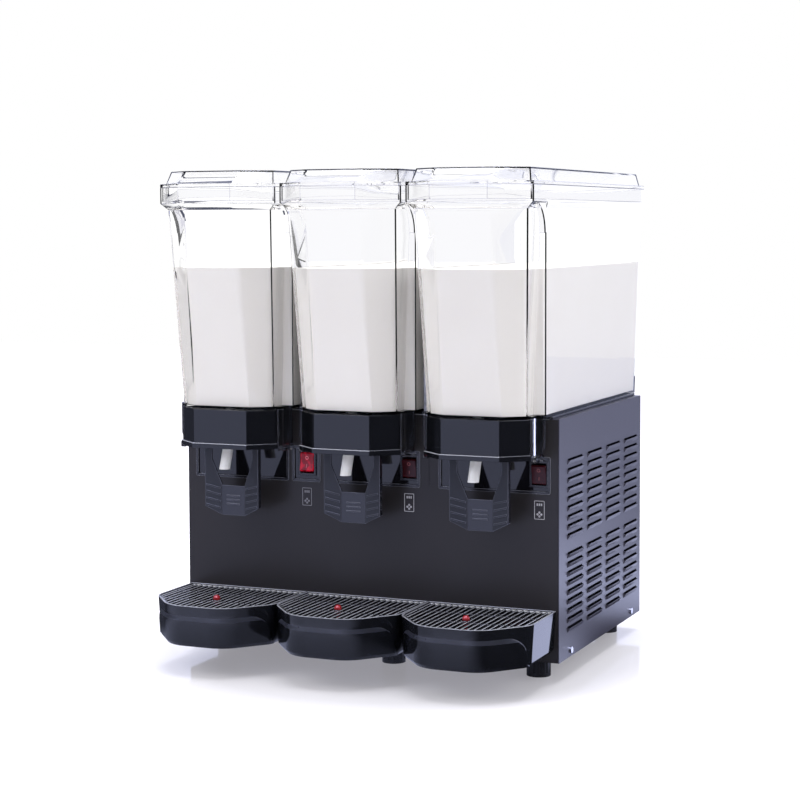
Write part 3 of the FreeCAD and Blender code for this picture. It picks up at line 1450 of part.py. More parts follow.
def refrigerant_pipes():
    comp_y = "cab_deep - comp_back"
    cond_y = "cab_deep - cond_back - cond_deep / 2"
    cond_x = "cond_place - cond_wide / 2"
    high = "cond_low + cond_tall - pipe_inset / 2"
    low = "cond_low + pipe_inset"
    riser = "riser_place - riser_gap"
    runs = [[("comp_place", comp_y, "sheet + comp_mount + comp_tall"), ("comp_place", comp_y, high),
             (riser, comp_y, high), (riser, cond_y, high), (cond_x, cond_y, high)],
            [(cond_x, cond_y, low), ("riser_place", cond_y, low), ("riser_place", "header_back", low),
             ("riser_place", "header_back", "header_level - pipe_radius")],
            [("-pitch - header_spare", "header_back", "header_level"),
             ("pitch + header_spare", "header_back", "header_level")]]
    for side in STATIONS.values():
        runs.append([("%d * pitch" % side, "header_back", "header_level"),
                     ("%d * pitch" % side, "header_back", "motor_level - carrier_thick - 2 * slip")])
    solids = [tube(sheet.pipe_radius, sheet.pipe_bend, run) for run in runs]
    pipes = doc.addObject("Part::Feature", "pipe_runs")
    pipes.Shape = solids[0].multiFuse(solids[1:])
    subpart(pipes, "refrigerant_pipes")


def wiring_box():
    left = "-cab_half + box_place"
    near = "box_front"
    outer = box("box_outer", (left, left + " + box_wide"), (near, near + " + box_deep"),
                ("sheet", "sheet + box_tall"))
    inner = box("box_inner", (left + " + box_wall", left + " + box_wide - box_wall"),
                (near + " + box_wall", near + " + box_deep - box_wall"),
                ("sheet + box_wall", "sheet + box_tall - box_wall"))
    hole = rod("box_hole", "gland_bore", "3 * box_wall", "gland_place", near + " + box_deep - 2 * box_wall",
               "gland_level", "Y")
    subpart(cut("wiring_box_cut", outer, inner, hole), "wiring_box")


def cable_gland():
    start = "cab_deep - sheet - gland_long / 2"
    sleeve = rod("gland_sleeve", "gland_radius", "gland_long", "gland_place", start, "gland_level", "Y")
    collar = rod("gland_collar", "gland_radius + gland_collar", "gland_long / 4", "gland_place", "cab_deep",
                 "gland_level", "Y")
    nut = rod("gland_nut", "gland_radius + gland_nut", "gland_long / 5", "gland_place",
              "cab_deep - sheet - gland_long / 5", "gland_level", "Y")
    bore = rod("gland_bore_rod", "gland_bore", "2 * gland_long", "gland_place", start + " - gland_long / 2",
               "gland_level", "Y")
    subpart(cut("gland_cut", fuse("gland_block", sleeve, collar, nut), bore), "cable_gland")


for build in (base_pan, front_panel, control_strip, side_panels, rear_panel, top_deck, feet, panel_screws,
              tanks, lids, seats, evaporator_drums, tank_seals, stirrer_motors, drive_magnets, impellers,
              spouts, levers, lever_pins, lever_springs, switch_housings, rockers, trays, grilles, floats,
              compressor, condenser, fan_frame, fan_motor, fan_rotor, refrigerant_pipes, wiring_box,
              cable_gland):
    build()

# Every object and every sub-part is checked before anything is written.
doc.recompute()
for thing in doc.Objects:
    if "Invalid" in thing.State or "Error" in thing.State:
        raise RuntimeError("%s is not built: %s" % (thing.Label, thing.State))
for thing in SUBPARTS:
    if thing.Shape.isNull() or not thing.Shape.isValid() or not thing.Shape.Solids:
        raise RuntimeError("%s has no sound shape" % thing.Label)
for thing in SUBPARTS:
    thing.Shape.exportStep("parts/%s.step" % thing.Label)
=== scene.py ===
import bmesh
import bpy
import json
import math
from mathutils import Euler, Matrix, Vector

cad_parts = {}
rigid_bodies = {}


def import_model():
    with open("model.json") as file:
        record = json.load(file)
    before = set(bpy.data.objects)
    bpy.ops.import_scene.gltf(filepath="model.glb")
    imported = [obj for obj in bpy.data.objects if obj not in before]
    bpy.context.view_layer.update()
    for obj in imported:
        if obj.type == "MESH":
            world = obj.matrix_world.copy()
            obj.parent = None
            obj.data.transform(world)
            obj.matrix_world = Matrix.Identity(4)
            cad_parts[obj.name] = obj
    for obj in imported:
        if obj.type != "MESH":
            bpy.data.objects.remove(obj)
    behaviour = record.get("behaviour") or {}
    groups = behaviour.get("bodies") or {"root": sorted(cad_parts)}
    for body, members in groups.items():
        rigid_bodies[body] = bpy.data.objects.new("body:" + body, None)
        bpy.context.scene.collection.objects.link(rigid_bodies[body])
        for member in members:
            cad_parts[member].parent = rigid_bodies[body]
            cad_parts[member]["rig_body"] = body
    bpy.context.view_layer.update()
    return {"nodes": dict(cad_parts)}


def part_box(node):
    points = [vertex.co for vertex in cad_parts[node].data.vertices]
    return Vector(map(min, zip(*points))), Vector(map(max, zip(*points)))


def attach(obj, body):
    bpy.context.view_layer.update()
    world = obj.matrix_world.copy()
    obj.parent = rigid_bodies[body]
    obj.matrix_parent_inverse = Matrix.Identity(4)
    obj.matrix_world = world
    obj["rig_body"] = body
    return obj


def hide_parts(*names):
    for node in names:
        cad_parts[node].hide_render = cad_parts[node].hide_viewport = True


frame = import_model()

# Cabinet sheets: the base pan, the two louvred sides and the rear panel.
# Mild steel sheet, folded and pressed, under a near-black violet grey powder coat.
# Its satin skin is dark seen square on and turns pale where it is seen along the surface.
NODES = frame["nodes"]
MM = 0.001
CLOUDS_PER_METRE = 9.0
COAT_GRAIN = 1.2 * MM


def colour(code):
    """An sRGB hex colour as linear red, green, blue and alpha."""
    parts = [int(code[i:i + 2], 16) / 255 for i in (1, 3, 5)]
    return [p / 12.92 if p <= 0.04045 else ((p + 0.055) / 1.055) ** 2.4 for p in parts] + [1.0]


def add(tree, kind, settings=None, **inputs):
    """Adds a shader node; an input given as another node's output is linked, any other is set."""
    made = tree.nodes.new("ShaderNode" + kind)
    for name, value in (settings or {}).items():
        setattr(made, name, value)
    for name, value in inputs.items():
        socket = made.inputs[int(name[1:])] if name[0] == "_" else made.inputs[name.replace("_", " ")]
        if isinstance(value, bpy.types.NodeSocket):
            tree.links.new(value, socket)
        else:
            socket.default_value = value
    return made


def new_finish(name):
    """An empty node material: the material, its tree and the input that its surface goes to."""
    made = bpy.data.materials.new(name)
    made.use_nodes = True
    made.node_tree.nodes.clear()
    output = made.node_tree.nodes.new("ShaderNodeOutputMaterial")
    return made, made.node_tree, output.inputs["Surface"]


def dress(finish, *names):
    """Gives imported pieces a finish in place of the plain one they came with."""
    for name in names:
        NODES[name].data.materials.clear()
        NODES[name].data.materials.append(finish)


def powder_coat(name, code, deeper, roughness, shine=0.5):
    """Powder coat: two close shades in broad clouds, and a fine grain that breaks up the gloss."""
    made, tree, surface = new_finish(name)
    place = add(tree, "TexCoord").outputs["Object"]
    clouds = add(tree, "TexNoise", Vector=place, Scale=CLOUDS_PER_METRE, Detail=3.0)
    shade = add(tree, "MixRGB", _0=clouds.outputs["Fac"], Color1=colour(code), Color2=colour(deeper))
    # The grain is about 0.4 mm across on the real sheet and is drawn at 1.2 mm, so that it shows.
    grain = add(tree, "TexNoise", Vector=place, Scale=1 / COAT_GRAIN, Detail=2.0)
    relief = add(tree, "Bump", Strength=0.12, Distance=0.2 * MM, Height=grain.outputs["Fac"])
    gloss = add(tree, "MapRange", Value=grain.outputs["Fac"],
                To_Min=roughness - 0.05, To_Max=roughness + 0.07)
    shader = add(tree, "BsdfPrincipled", Base_Color=shade.outputs["Color"],
                 Roughness=gloss.outputs["Result"], Specular_IOR_Level=shine,
                 Normal=relief.outputs["Normal"])
    tree.links.new(shader.outputs["BSDF"], surface)
    return made


cabinet_coat = powder_coat("cabinet_powder_coat", "#35323d", "#2f2d37", 0.33)
dress(cabinet_coat, "side_panel_left", "side_panel_right", "rear_panel", "base_pan")

# Front panel: one flat steel sheet with four window openings cut through it.
# The same coat on a smoother sheet, with every cut edge broken so that it draws a thin light line.
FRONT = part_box("front_panel")[0].y
FRONT_EDGE = 0.4 * MM
MERGE = 0.02 * MM


def softened(name, width, slot, *finishes, segments=2, sharp=30, crease=50, flat=0.6):
    """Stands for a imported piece: its triangles merged into whole faces and its outer edges rounded.

    Faces within the flat angle of each other become one. Edges sharper than the sharp angle are
    rounded, and a second finish goes on them. Edges sharper than the crease angle stay sharp in
    the light. All angles are in degrees.
    """
    packed = NODES[name]
    bm = bmesh.new()
    bm.from_mesh(packed.data)
    bmesh.ops.remove_doubles(bm, verts=bm.verts, dist=MERGE)
    bmesh.ops.dissolve_limit(bm, angle_limit=math.radians(flat), verts=bm.verts, edges=bm.edges)
    bmesh.ops.recalc_face_normals(bm, faces=bm.faces)
    for face in bm.faces:
        face.material_index = 0
    corners = [e for e in bm.edges
               if e.is_manifold and e.is_convex and e.calc_face_angle() > math.radians(sharp)]
    bmesh.ops.bevel(bm, geom=corners, offset=width, offset_type="OFFSET", segments=segments, profile=0.5,
                    affect="EDGES", material=len(finishes) - 1, clamp_overlap=False)
    bmesh.ops.remove_doubles(bm, verts=bm.verts, dist=MERGE / 2)
    bmesh.ops.recalc_face_normals(bm, faces=bm.faces)
    return placed(bm, name + "_shown", packed["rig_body"], slot, *finishes, stands_for=name, crease=crease)


def placed(bm, name, body, slot, *finishes, stands_for=None, crease=50):
    """Turns a bmesh into a piece that rides on a body, with its flat faces kept flat in the light."""
    mesh = bpy.data.meshes.new(name)
    bm.to_mesh(mesh)
    bm.free()
    for finish in finishes:
        mesh.materials.append(finish)
    mesh.polygons.foreach_set("use_smooth", [True] * len(mesh.polygons))
    mesh.set_sharp_from_angle(angle=math.radians(crease))
    piece = bpy.data.objects.new(name, mesh)
    bpy.context.scene.collection.objects.link(piece)
    weighted = piece.modifiers.new("flat_faces", "WEIGHTED_NORMAL")
    weighted.keep_sharp = True
    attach(piece, body)
    if stands_for:
        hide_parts(stands_for)
    return piece


front_coat = powder_coat("front_powder_coat", "#2e2b2d", "#292729", 0.3, 0.25)
softened("front_panel", FRONT_EDGE, "front_paint", front_coat)

# Top deck: the stainless sheet that closes the cabinet and carries the three evaporator drums.
# Bare metal with fine drawn lines running across the machine.
DECK_ROUGHNESS = 0.3
DECK_LINES = (60.0, 2200.0, 2200.0)


def bare_metal(name, code, roughness, lines):
    """Bare metal with fine drawn lines; the line scale is per metre along each axis."""
    made, tree, surface = new_finish(name)
    place = add(tree, "TexCoord").outputs["Object"]
    stretched = add(tree, "Mapping", Vector=place, Scale=lines)
    drawn = add(tree, "TexNoise", Vector=stretched.outputs["Vector"], Scale=1.0, Detail=2.0)
    gloss = add(tree, "MapRange", Value=drawn.outputs["Fac"],
                To_Min=roughness - 0.08, To_Max=roughness + 0.1)
    relief = add(tree, "Bump", Strength=0.1, Distance=0.1 * MM, Height=drawn.outputs["Fac"])
    shader = add(tree, "BsdfPrincipled", Base_Color=colour(code), Metallic=1.0,
                 Roughness=gloss.outputs["Result"], Normal=relief.outputs["Normal"])
    tree.links.new(shader.outputs["BSDF"], surface)
    return made


stainless = bare_metal("drawn_stainless_steel", "#b4b3b6", DECK_ROUGHNESS, DECK_LINES)
dress(stainless, "top_deck")

# Control strip: the glossy black plastic strip behind the four windows.
# Extruded acrylic, flat enough to mirror the lever arms, with only a faint wave in it.


def moulded(name, code, roughness, ripple, strength, *, deeper):
    """Moulded plastic: a faint flow between two shades, and a slight wave, ripple mm long, in its gloss."""
    made, tree, surface = new_finish(name)
    place = add(tree, "TexCoord").outputs["Object"]
    flow = add(tree, "TexNoise", Vector=place, Scale=1 / (ripple * MM), Detail=2.0)
    shade = add(tree, "MixRGB", _0=flow.outputs["Fac"], Color1=colour(code), Color2=colour(deeper))
    relief = add(tree, "Bump", Strength=strength, Distance=0.2 * MM, Height=flow.outputs["Fac"])
    gloss = add(tree, "MapRange", Value=flow.outputs["Fac"], To_Min=roughness * 0.8, To_Max=roughness * 1.2)
    shader = add(tree, "BsdfPrincipled", Base_Color=shade.outputs["Color"],
                 Roughness=gloss.outputs["Result"], Normal=relief.outputs["Normal"])
    tree.links.new(shader.outputs["BSDF"], surface)
    return made


acrylic = moulded("black_acrylic", "#15151a", 0.06, 25.0, 0.02, deeper="#121217")
dress(acrylic, "control_strip")

# Window bezels: a thin raised frame round each of the four windows of the front panel.
# Moulded black ABS clipped into the sheet; its rounded edges carry a painted highlight, a pale finish that
# draws the double light lines.
BEZEL_HIGH = 1.2 * MM
BEZEL_EDGE = 0.45 * MM
BEZEL_WIDE = 4 * MM
BEZEL_CORNER = 3 * MM
BEZEL_TOP = 312.8 * MM
BEZEL_LOW = 261 * MM
BEZEL_OUT = 1 * MM
BEZEL_SHARP = 1
WINDOW_SPANS = ((-274.5, -123.3), (-116.4, -72.8), (-62.0, 82.3), (111.9, 275.5))


def flat_bar(bm, x, z, wide, tall):
    """A flat upright rectangle, drawn in x and z; returns its corners."""
    size = Matrix.Diagonal((wide, tall, 1, 1))
    stand = Matrix.Rotation(math.pi / 2, 4, "X")
    move = Matrix.Translation((x, 0, z))
    made = bmesh.ops.create_grid(bm, x_segments=1, y_segments=1, size=0.5, matrix=move @ stand @ size)
    return made["verts"]


def flat_frame(bm, x, z, wide, tall, corner, band):
    """A flat upright frame with rounded outer corners."""
    outer = flat_bar(bm, x, z, wide, tall)
    rounded = bmesh.ops.bevel(bm, geom=outer, offset=corner, offset_type="OFFSET", segments=4, profile=0.5,
                              affect="VERTICES", material=-1)
    whole = list({face for vert in rounded["verts"] for face in vert.link_faces})
    bmesh.ops.inset_individual(bm, faces=whole, thickness=band, use_even_offset=True)
    bmesh.ops.delete(bm, geom=whole, context="FACES")


def raise_flat(bm, high):
    """Gives everything flat in the mesh a thickness toward the front and stands it on the front panel."""
    raised = bmesh.ops.extrude_face_region(bm, geom=bm.faces[:])
    bmesh.ops.translate(bm, verts=[v for v in raised["geom"] if isinstance(v, bmesh.types.BMVert)],
                        vec=(0, -high, 0))
    bmesh.ops.translate(bm, verts=bm.verts, vec=(0, FRONT, 0))
    bmesh.ops.recalc_face_normals(bm, faces=bm.faces)


bezel_black = moulded("bezel_black_abs", "#1c1c22", 0.22, 18.0, 0.02, deeper="#202027")
# The rounded edges' pale finish is a painted highlight.
bezel_painted_highlight = moulded("painted_highlight_bezel_edge", "#85868f", 0.25, 18.0, 0.02, deeper="#74757e")
for number, (left, right) in enumerate(WINDOW_SPANS, 1):
    bm = bmesh.new()
    high = BEZEL_TOP - BEZEL_LOW
    flat_frame(bm, (left + right) / 2 * MM, BEZEL_LOW + high / 2, (right - left) * MM + 2 * BEZEL_OUT,
               high, BEZEL_CORNER, BEZEL_WIDE)
    raise_flat(bm, BEZEL_HIGH)
    front = [e for e in bm.edges if e.is_convex and e.calc_face_angle() > BEZEL_SHARP
             and max(v.co.y for v in e.verts) < FRONT]
    bmesh.ops.bevel(bm, geom=front, offset=BEZEL_EDGE, offset_type="OFFSET", segments=2, profile=0.5,
                    affect="EDGES", material=1)
    placed(bm, "window_bezel_%d" % number, "cabinet", "gloss_black", bezel_black, bezel_painted_highlight)

# Switches: three rocker switches in dark plastic housings that stand out through the windows.
# Smoked red polycarbonate caps, printed with a ring and a bar for off and on; the left one is
# switched on and lit from inside, and its red and its marks are also painted lighter as lit.
HOUSING_EDGE = 0.5 * MM
CAP_EDGE = 0.6 * MM
SIDES = ("left", "middle", "right")
RING_UP = 6.2 * MM
RING_RADIUS = 2.1 * MM
BAR_DOWN = 5.6 * MM
BAR_HALF = 2.4 * MM
MARK_HALF = 0.55 * MM
LIT = 0.62
UNLIT = 0.01

switch_black = moulded("switch_black_nylon", "#1b1b21", 0.28, 1.6, 0.05, deeper="#202026")
softened("switch_housings", HOUSING_EDGE, "switch_black", switch_black)


def printed_marks(tree, place, centre):
    """1 on the printed ring and bar of a cap whose middle is given, 0 elsewhere."""
    local = add(tree, "VectorMath", {"operation": "SUBTRACT"}, _0=place, _1=centre)
    parts = add(tree, "SeparateXYZ", Vector=local.outputs["Vector"])
    up = add(tree, "Math", {"operation": "SUBTRACT"}, _0=parts.outputs["Z"], _1=RING_UP)
    round_ring = add(tree, "CombineXYZ", X=parts.outputs["X"], Y=up.outputs["Value"])
    reach = add(tree, "VectorMath", {"operation": "LENGTH"}, _0=round_ring.outputs["Vector"])
    ring = add(tree, "Math", {"operation": "COMPARE"}, _0=reach.outputs["Value"], _1=RING_RADIUS,
               _2=MARK_HALF)
    down = add(tree, "Math", {"operation": "COMPARE"}, _0=parts.outputs["Z"], _1=-BAR_DOWN, _2=BAR_HALF)
    across = add(tree, "Math", {"operation": "COMPARE"}, _0=parts.outputs["X"], _1=0.0, _2=MARK_HALF)
    bar = add(tree, "Math", {"operation": "MULTIPLY"}, _0=down.outputs["Value"], _1=across.outputs["Value"])
    both = add(tree, "Math", {"operation": "MAXIMUM"}, _0=ring.outputs["Value"], _1=bar.outputs["Value"])
    return both.outputs["Value"]


def cap_red(name, code, deeper, centre, glow, mark):
    """A translucent cap, cloudy with depth, lit by its lamp in an uneven patch, with printed marks."""
    made, tree, surface = new_finish(name)
    place = add(tree, "TexCoord").outputs["Object"]
    cloud = add(tree, "TexNoise", Vector=place, Scale=1 / (7 * MM), Detail=1.0)
    level = add(tree, "MapRange", {"interpolation_type": "SMOOTHSTEP"}, Value=cloud.outputs["Fac"],
                From_Min=0.42, From_Max=0.62, To_Min=0.18 * glow, To_Max=glow)
    printed = printed_marks(tree, place, centre)
    depth = add(tree, "MixRGB", _0=cloud.outputs["Fac"], Color1=colour(code), Color2=colour(deeper))
    shade = add(tree, "MixRGB", _0=printed, Color1=depth.outputs["Color"], Color2=colour(mark))
    lamp = add(tree, "MixRGB", _0=printed, Color1=colour("#c8102e"), Color2=colour("#f0687c"))
    shader = add(tree, "BsdfPrincipled", Base_Color=shade.outputs["Color"], Roughness=0.2,
                 Specular_IOR_Level=0.25, Emission_Color=lamp.outputs["Color"],
                 Emission_Strength=level.outputs["Result"])
    tree.links.new(shader.outputs["BSDF"], surface)
    return made


for side in SIDES:
    low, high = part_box("rocker_" + side)
    centre = (low + high) / 2
    # The lit cap's brighter red and paler marks are painted light from its lamp, beside its glow.
    if side == "left":
        cap = cap_red("red_polycarbonate_painted_lit", "#7a0f20", "#4a0812", centre, LIT, "#c8747f")
    else:
        cap = cap_red("smoked_red_polycarbonate_" + side, "#3a0b12", "#21070b", centre, UNLIT, "#7c4448")
    softened("rocker_" + side, CAP_EDGE, "rocker_red", cap)

# Switch labels: one printed plate under each switch, with a box outline, a row of marks and a flake.
# Pale ink laid on the front panel, a tenth of a millimetre thick; the left one is worn greyer.
INK = 0.1 * MM
LABEL_AT = {"left": -94 * MM, "middle": 66 * MM, "right": 260 * MM}
LABEL_LOW = 226 * MM
LABEL_WIDE = 15 * MM
LABEL_TALL = 26 * MM
LABEL_CORNER = 1.2 * MM
LABEL_LINE = 0.9 * MM
TEXT_UP = 20.5 * MM
TEXT_STEP = 3 * MM
TEXT_WIDE = 2 * MM
TEXT_TALL = 3.4 * MM
FLAKE_UP = 7 * MM
LOBE_OUT = 2.7 * MM
LOBE = 1.6 * MM


def switch_ink(name, code):
    """Screen-printed ink: slightly uneven where the mesh of the screen let less through."""
    made, tree, surface = new_finish(name)
    place = add(tree, "TexCoord").outputs["Object"]
    screen = add(tree, "TexNoise", Vector=place, Scale=1 / (0.8 * MM), Detail=1.0)
    shade = add(tree, "MixRGB", _0=screen.outputs["Fac"], Color1=colour(code), Color2=colour("#77767e"))
    shader = add(tree, "BsdfPrincipled", Base_Color=shade.outputs["Color"], Roughness=0.5)
    tree.links.new(shader.outputs["BSDF"], surface)
    return made


pale_ink = switch_ink("pale_print", "#e6e4ec")
grey_ink = switch_ink("worn_print", "#8d8c95")
for side, centre in LABEL_AT.items():
    bm = bmesh.new()
    flat_frame(bm, centre, LABEL_LOW + LABEL_TALL / 2, LABEL_WIDE, LABEL_TALL, LABEL_CORNER, LABEL_LINE)
    for step in (-1, 0, 1):
        flat_bar(bm, centre + step * TEXT_STEP, LABEL_LOW + TEXT_UP, TEXT_WIDE, TEXT_TALL)
    for step in range(4):
        turn = step * math.pi / 2
        stand = Matrix.Translation((centre + LOBE_OUT * math.sin(turn), 0,
                                    LABEL_LOW + FLAKE_UP + LOBE_OUT * math.cos(turn)))
        bmesh.ops.create_circle(bm, cap_ends=True, segments=10, radius=LOBE,
                                matrix=stand @ Matrix.Rotation(math.pi / 2, 4, "X"))
    raise_flat(bm, INK)
    placed(bm, "switch_label_" + side, "cabinet", "impeller_white",
           grey_ink if side == "left" else pale_ink)

# Tank seats: the moulded platform and front skirt under each tank.
# Gloss black ABS with a hard, slightly blue shine; the lip round the skirt's foot carries a painted
# highlight, a line of light along its front.
SEAT_EDGE = 0.9 * MM
LIP_TALL = 8 * MM


def paint_light_and_shade(piece, finish, chosen):
    """Gives the chosen faces of a piece another finish, where they still have its first one."""
    # The other finish is painted light: a painted highlight, and on the lever wings a painted shade.
    piece.data.materials.append(finish)
    for face in piece.data.polygons:
        if face.material_index == 0 and chosen(face):
            face.material_index = len(piece.data.materials) - 1


gloss_black = moulded("gloss_black_abs", "#0c0d11", 0.07, 30.0, 0.015, deeper="#0f1014")
# The lip's pale finish is a painted highlight.
lip_painted_highlight = moulded("painted_highlight_skirt_lip", "#c3c5d0", 0.2, 30.0, 0.015, deeper="#aeb0bb")
for side in SIDES:
    seat = softened("seat_" + side, SEAT_EDGE, "gloss_black", gloss_black, sharp=60, crease=30)
    lip_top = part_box("seat_" + side)[0].z + LIP_TALL
    paint_light_and_shade(seat, lip_painted_highlight, lambda face: 0.25 < face.normal.z < 0.95 and face.normal.x < 0.35
         and face.center.z < lip_top)

# Tanks: three clear polycarbonate tanks with 3 mm walls that stand over the drums.
# Injection moulded. A wall seen along its length, and every rounded edge, carries a painted violet grey
# outline, a painted reflection of the dark cabinet, which draws the thin dark lines round an otherwise
# invisible tank. The left arch under each rim gets a paler painted outline and bends light less, so it
# draws hardly any line.
TANK_EDGE = 0.6 * MM
CLEAR_BENDING = 1.18
ARCH_BENDING = 1.04
LAYERS_SEEN = 6.5
ARCH_LOW = 560 * MM
ARCH_DEEP = 45 * MM
ARCH_BACK = -100 * MM
RIM_TALL = 45 * MM


def clear_moulding(name, code, outline, start, bending):
    """Clear plastic that lets plain light through, with a painted reflection: a violet grey tint where it
    is seen along its surface.

    The painted tint grows from the start slant on. Past six layers the white room is all that is seen.
    """
    made, tree, surface = new_finish(name)
    place = add(tree, "TexCoord").outputs["Object"]
    flow = add(tree, "TexNoise", Vector=place, Scale=1 / (40 * MM), Detail=1.0)
    wave = add(tree, "Bump", Strength=0.02, Distance=0.4 * MM, Height=flow.outputs["Fac"])
    slant = add(tree, "LayerWeight", Blend=0.5)
    along = add(tree, "MapRange", {"interpolation_type": "SMOOTHSTEP"}, Value=slant.outputs["Facing"],
                From_Min=start, From_Max=1.0)
    tint = add(tree, "MixRGB", _0=along.outputs["Result"], Color1=colour(code), Color2=colour(outline))
    plastic = add(tree, "BsdfPrincipled", Base_Color=tint.outputs["Color"], Roughness=0.015, IOR=bending,
                  Transmission_Weight=1.0, Normal=wave.outputs["Normal"])
    passed = add(tree, "BsdfTransparent", Color=colour("#fafafa"))
    beyond = add(tree, "Emission", Color=colour("#fafafc"), Strength=1.0)
    rays = add(tree, "LightPath")
    layers = add(tree, "Math", {"operation": "GREATER_THAN"}, _0=rays.outputs["Transmission Depth"],
                 _1=LAYERS_SEEN)
    seen = add(tree, "MixShader", _0=layers.outputs["Value"], _1=plastic.outputs["BSDF"],
               _2=beyond.outputs["Emission"])
    plain = add(tree, "Math", {"operation": "MAXIMUM"}, _0=rays.outputs["Is Shadow Ray"],
                _1=rays.outputs["Is Diffuse Ray"])
    mix = add(tree, "MixShader", _0=plain.outputs["Value"], _1=seen.outputs["Shader"],
              _2=passed.outputs["BSDF"])
    tree.links.new(mix.outputs["Shader"], surface)
    return made


# All three finishes paint a violet grey outline by slant, a painted reflection: the edge one darkest on a
# greyer base, the arch one palest.
clear = clear_moulding("clear_polycarbonate", "#ffffff", "#8b89a6", 0.9, CLEAR_BENDING)
clear_painted_edge = clear_moulding("clear_polycarbonate_painted_edge_line", "#d3d3de", "#6a6884", 0.5, CLEAR_BENDING)
clear_arch = clear_moulding("clear_polycarbonate_arch", "#ffffff", "#c9c8da", 0.6, ARCH_BENDING)
for side in SIDES:
    tank = softened("tank_" + side, TANK_EDGE, "clear_tank", clear, clear_painted_edge,
                    segments=3, sharp=45, crease=34)
    low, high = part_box("tank_" + side)
    tank.data.materials.append(clear_arch)
    for face in tank.data.polygons:
        x, y, z = face.center
        if ARCH_LOW < z < high.z - RIM_TALL and x < low.x + ARCH_DEEP and y < ARCH_BACK:
            face.material_index = 2

# Lids: a clear moulded lid with a stepped rim drops over the mouth of each tank.
# The same polycarbonate as the tanks, a little thinner and clearer.
LID_EDGE = 0.8 * MM
for side in SIDES:
    softened("lid_" + side, LID_EDGE, "clear_tank", clear, clear_painted_edge, segments=3, crease=34)

# Drink: a white milk drink stands about two thirds up in each tank.
# Opaque, with a soft skin on top; it fills the tank round the drum and the stirrer.
DRINK_FLOOR = 373.4 * MM
DRINK_LEVEL = 571.0 * MM
DRINK_GAP = 0.4 * MM
DRINK_CORNER = 9 * MM
DRUM_ROOM = 75.5 * MM
DRUM_TOP = 523 * MM
DRUM_AT = 50.5 * MM
# The two plans are half outlines of a tank's inside, at the drink's floor and at its level, in
# millimetres out from the tank's middle and back from the cabinet's front.
FLOOR_PLAN = ((42.7, -73.9), (69.5, -54.6), (69.6, -29.0), (86.5, -26.0), (86.5, 391.0))
LEVEL_PLAN = ((38.9, -101.3), (76.3, -72.1), (76.3, -29.0), (86.5, -26.0), (86.5, 415.8))
CABINET_FRONT = -134.5 * MM


def milk(name):
    """Milk: white with faint slow clouds, and a low wet shine."""
    made, tree, surface = new_finish(name)
    place = add(tree, "TexCoord").outputs["Object"]
    clouds = add(tree, "TexNoise", Vector=place, Scale=1 / (60 * MM), Detail=2.0)
    shade = add(tree, "MixRGB", _0=clouds.outputs["Fac"], Color1=colour("#f8f5f2"),
                Color2=colour("#f3efeb"))
    foam = add(tree, "TexNoise", Vector=place, Scale=1 / (2 * MM), Detail=1.0)
    gloss = add(tree, "MapRange", Value=foam.outputs["Fac"], To_Min=0.25, To_Max=0.45)
    shader = add(tree, "BsdfPrincipled", Base_Color=shade.outputs["Color"],
                 Roughness=gloss.outputs["Result"])
    tree.links.new(shader.outputs["BSDF"], surface)
    return made


def outline_at(bm, plan, middle, z):
    """A closed loop of edges round a tank's inside, a small gap in from its walls."""
    half = [(x * MM - DRINK_GAP, y * MM + CABINET_FRONT + (DRINK_GAP if y < 0 else -DRINK_GAP))
            for x, y in plan]
    ring = [(middle + x, y) for x, y in half] + [(middle - x, y) for x, y in reversed(half)]
    corners = [bm.verts.new((x, y, z)) for x, y in ring]
    return [bm.edges.new((corners[i - 1], corners[i])) for i in range(len(corners))]


def drum_ring(bm, middle, z):
    """A loop of edges round the room that the drum and stirrer take."""
    made = bmesh.ops.create_circle(bm, segments=48, radius=DRUM_ROOM,
                                   matrix=Matrix.Translation((middle, DRUM_AT, z)))
    return list({edge for vert in made["verts"] for edge in vert.link_edges})


white_milk = milk("white_milk_drink")
for side in SIDES:
    low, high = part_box("tank_" + side)
    middle = (low.x + high.x) / 2
    bm = bmesh.new()
    walls = [outline_at(bm, FLOOR_PLAN, middle, DRINK_FLOOR),
             outline_at(bm, LEVEL_PLAN, middle, DRINK_LEVEL)]
    room = [drum_ring(bm, middle, DRINK_FLOOR), drum_ring(bm, middle, DRUM_TOP)]
    bmesh.ops.bridge_loops(bm, edges=walls[0] + walls[1])
    bmesh.ops.bridge_loops(bm, edges=room[0] + room[1])
    bmesh.ops.triangle_fill(bm, edges=walls[0] + room[0], use_beauty=True)
    bmesh.ops.edgeloop_fill(bm, edges=walls[1])
    bmesh.ops.edgeloop_fill(bm, edges=room[1])
    nose = [e for e in bm.edges if abs(e.verts[0].co.z - e.verts[1].co.z) > DRUM_ROOM and e.is_manifold
            and max(v.co.y for v in e.verts) < DRUM_AT - DRUM_ROOM - DRINK_CORNER]
    bmesh.ops.bevel(bm, geom=nose, offset=DRINK_CORNER, offset_type="OFFSET", segments=4, profile=0.5,
                    affect="EDGES", material=-1, clamp_overlap=True)
    bmesh.ops.recalc_face_normals(bm, faces=bm.faces)
    placed(bm, "drink_" + side, side + "_tank_body", "impeller_white", white_milk, crease=30)

# Cold side inside each tank: the evaporator drum, its stirrer, the drive magnet and the seal.
# Drawn stainless drum, white acetal stirrer, ferrite magnet and a black rubber ring.
dress(stainless, "evaporator_drums")
acetal = moulded("white_acetal", "#e9e9ec", 0.4, 3.0, 0.03, deeper="#e2e2e6")
ferrite = bare_metal("ferrite_magnet", "#5a5a5e", 0.45, (900.0, 900.0, 900.0))
rubber = moulded("black_rubber", "#19191b", 0.7, 1.4, 0.08, deeper="#222224")
dress(acetal, *["impeller_" + side for side in SIDES])
dress(ferrite, *["drive_magnet_" + side for side in SIDES])
dress(rubber, "tank_seals")

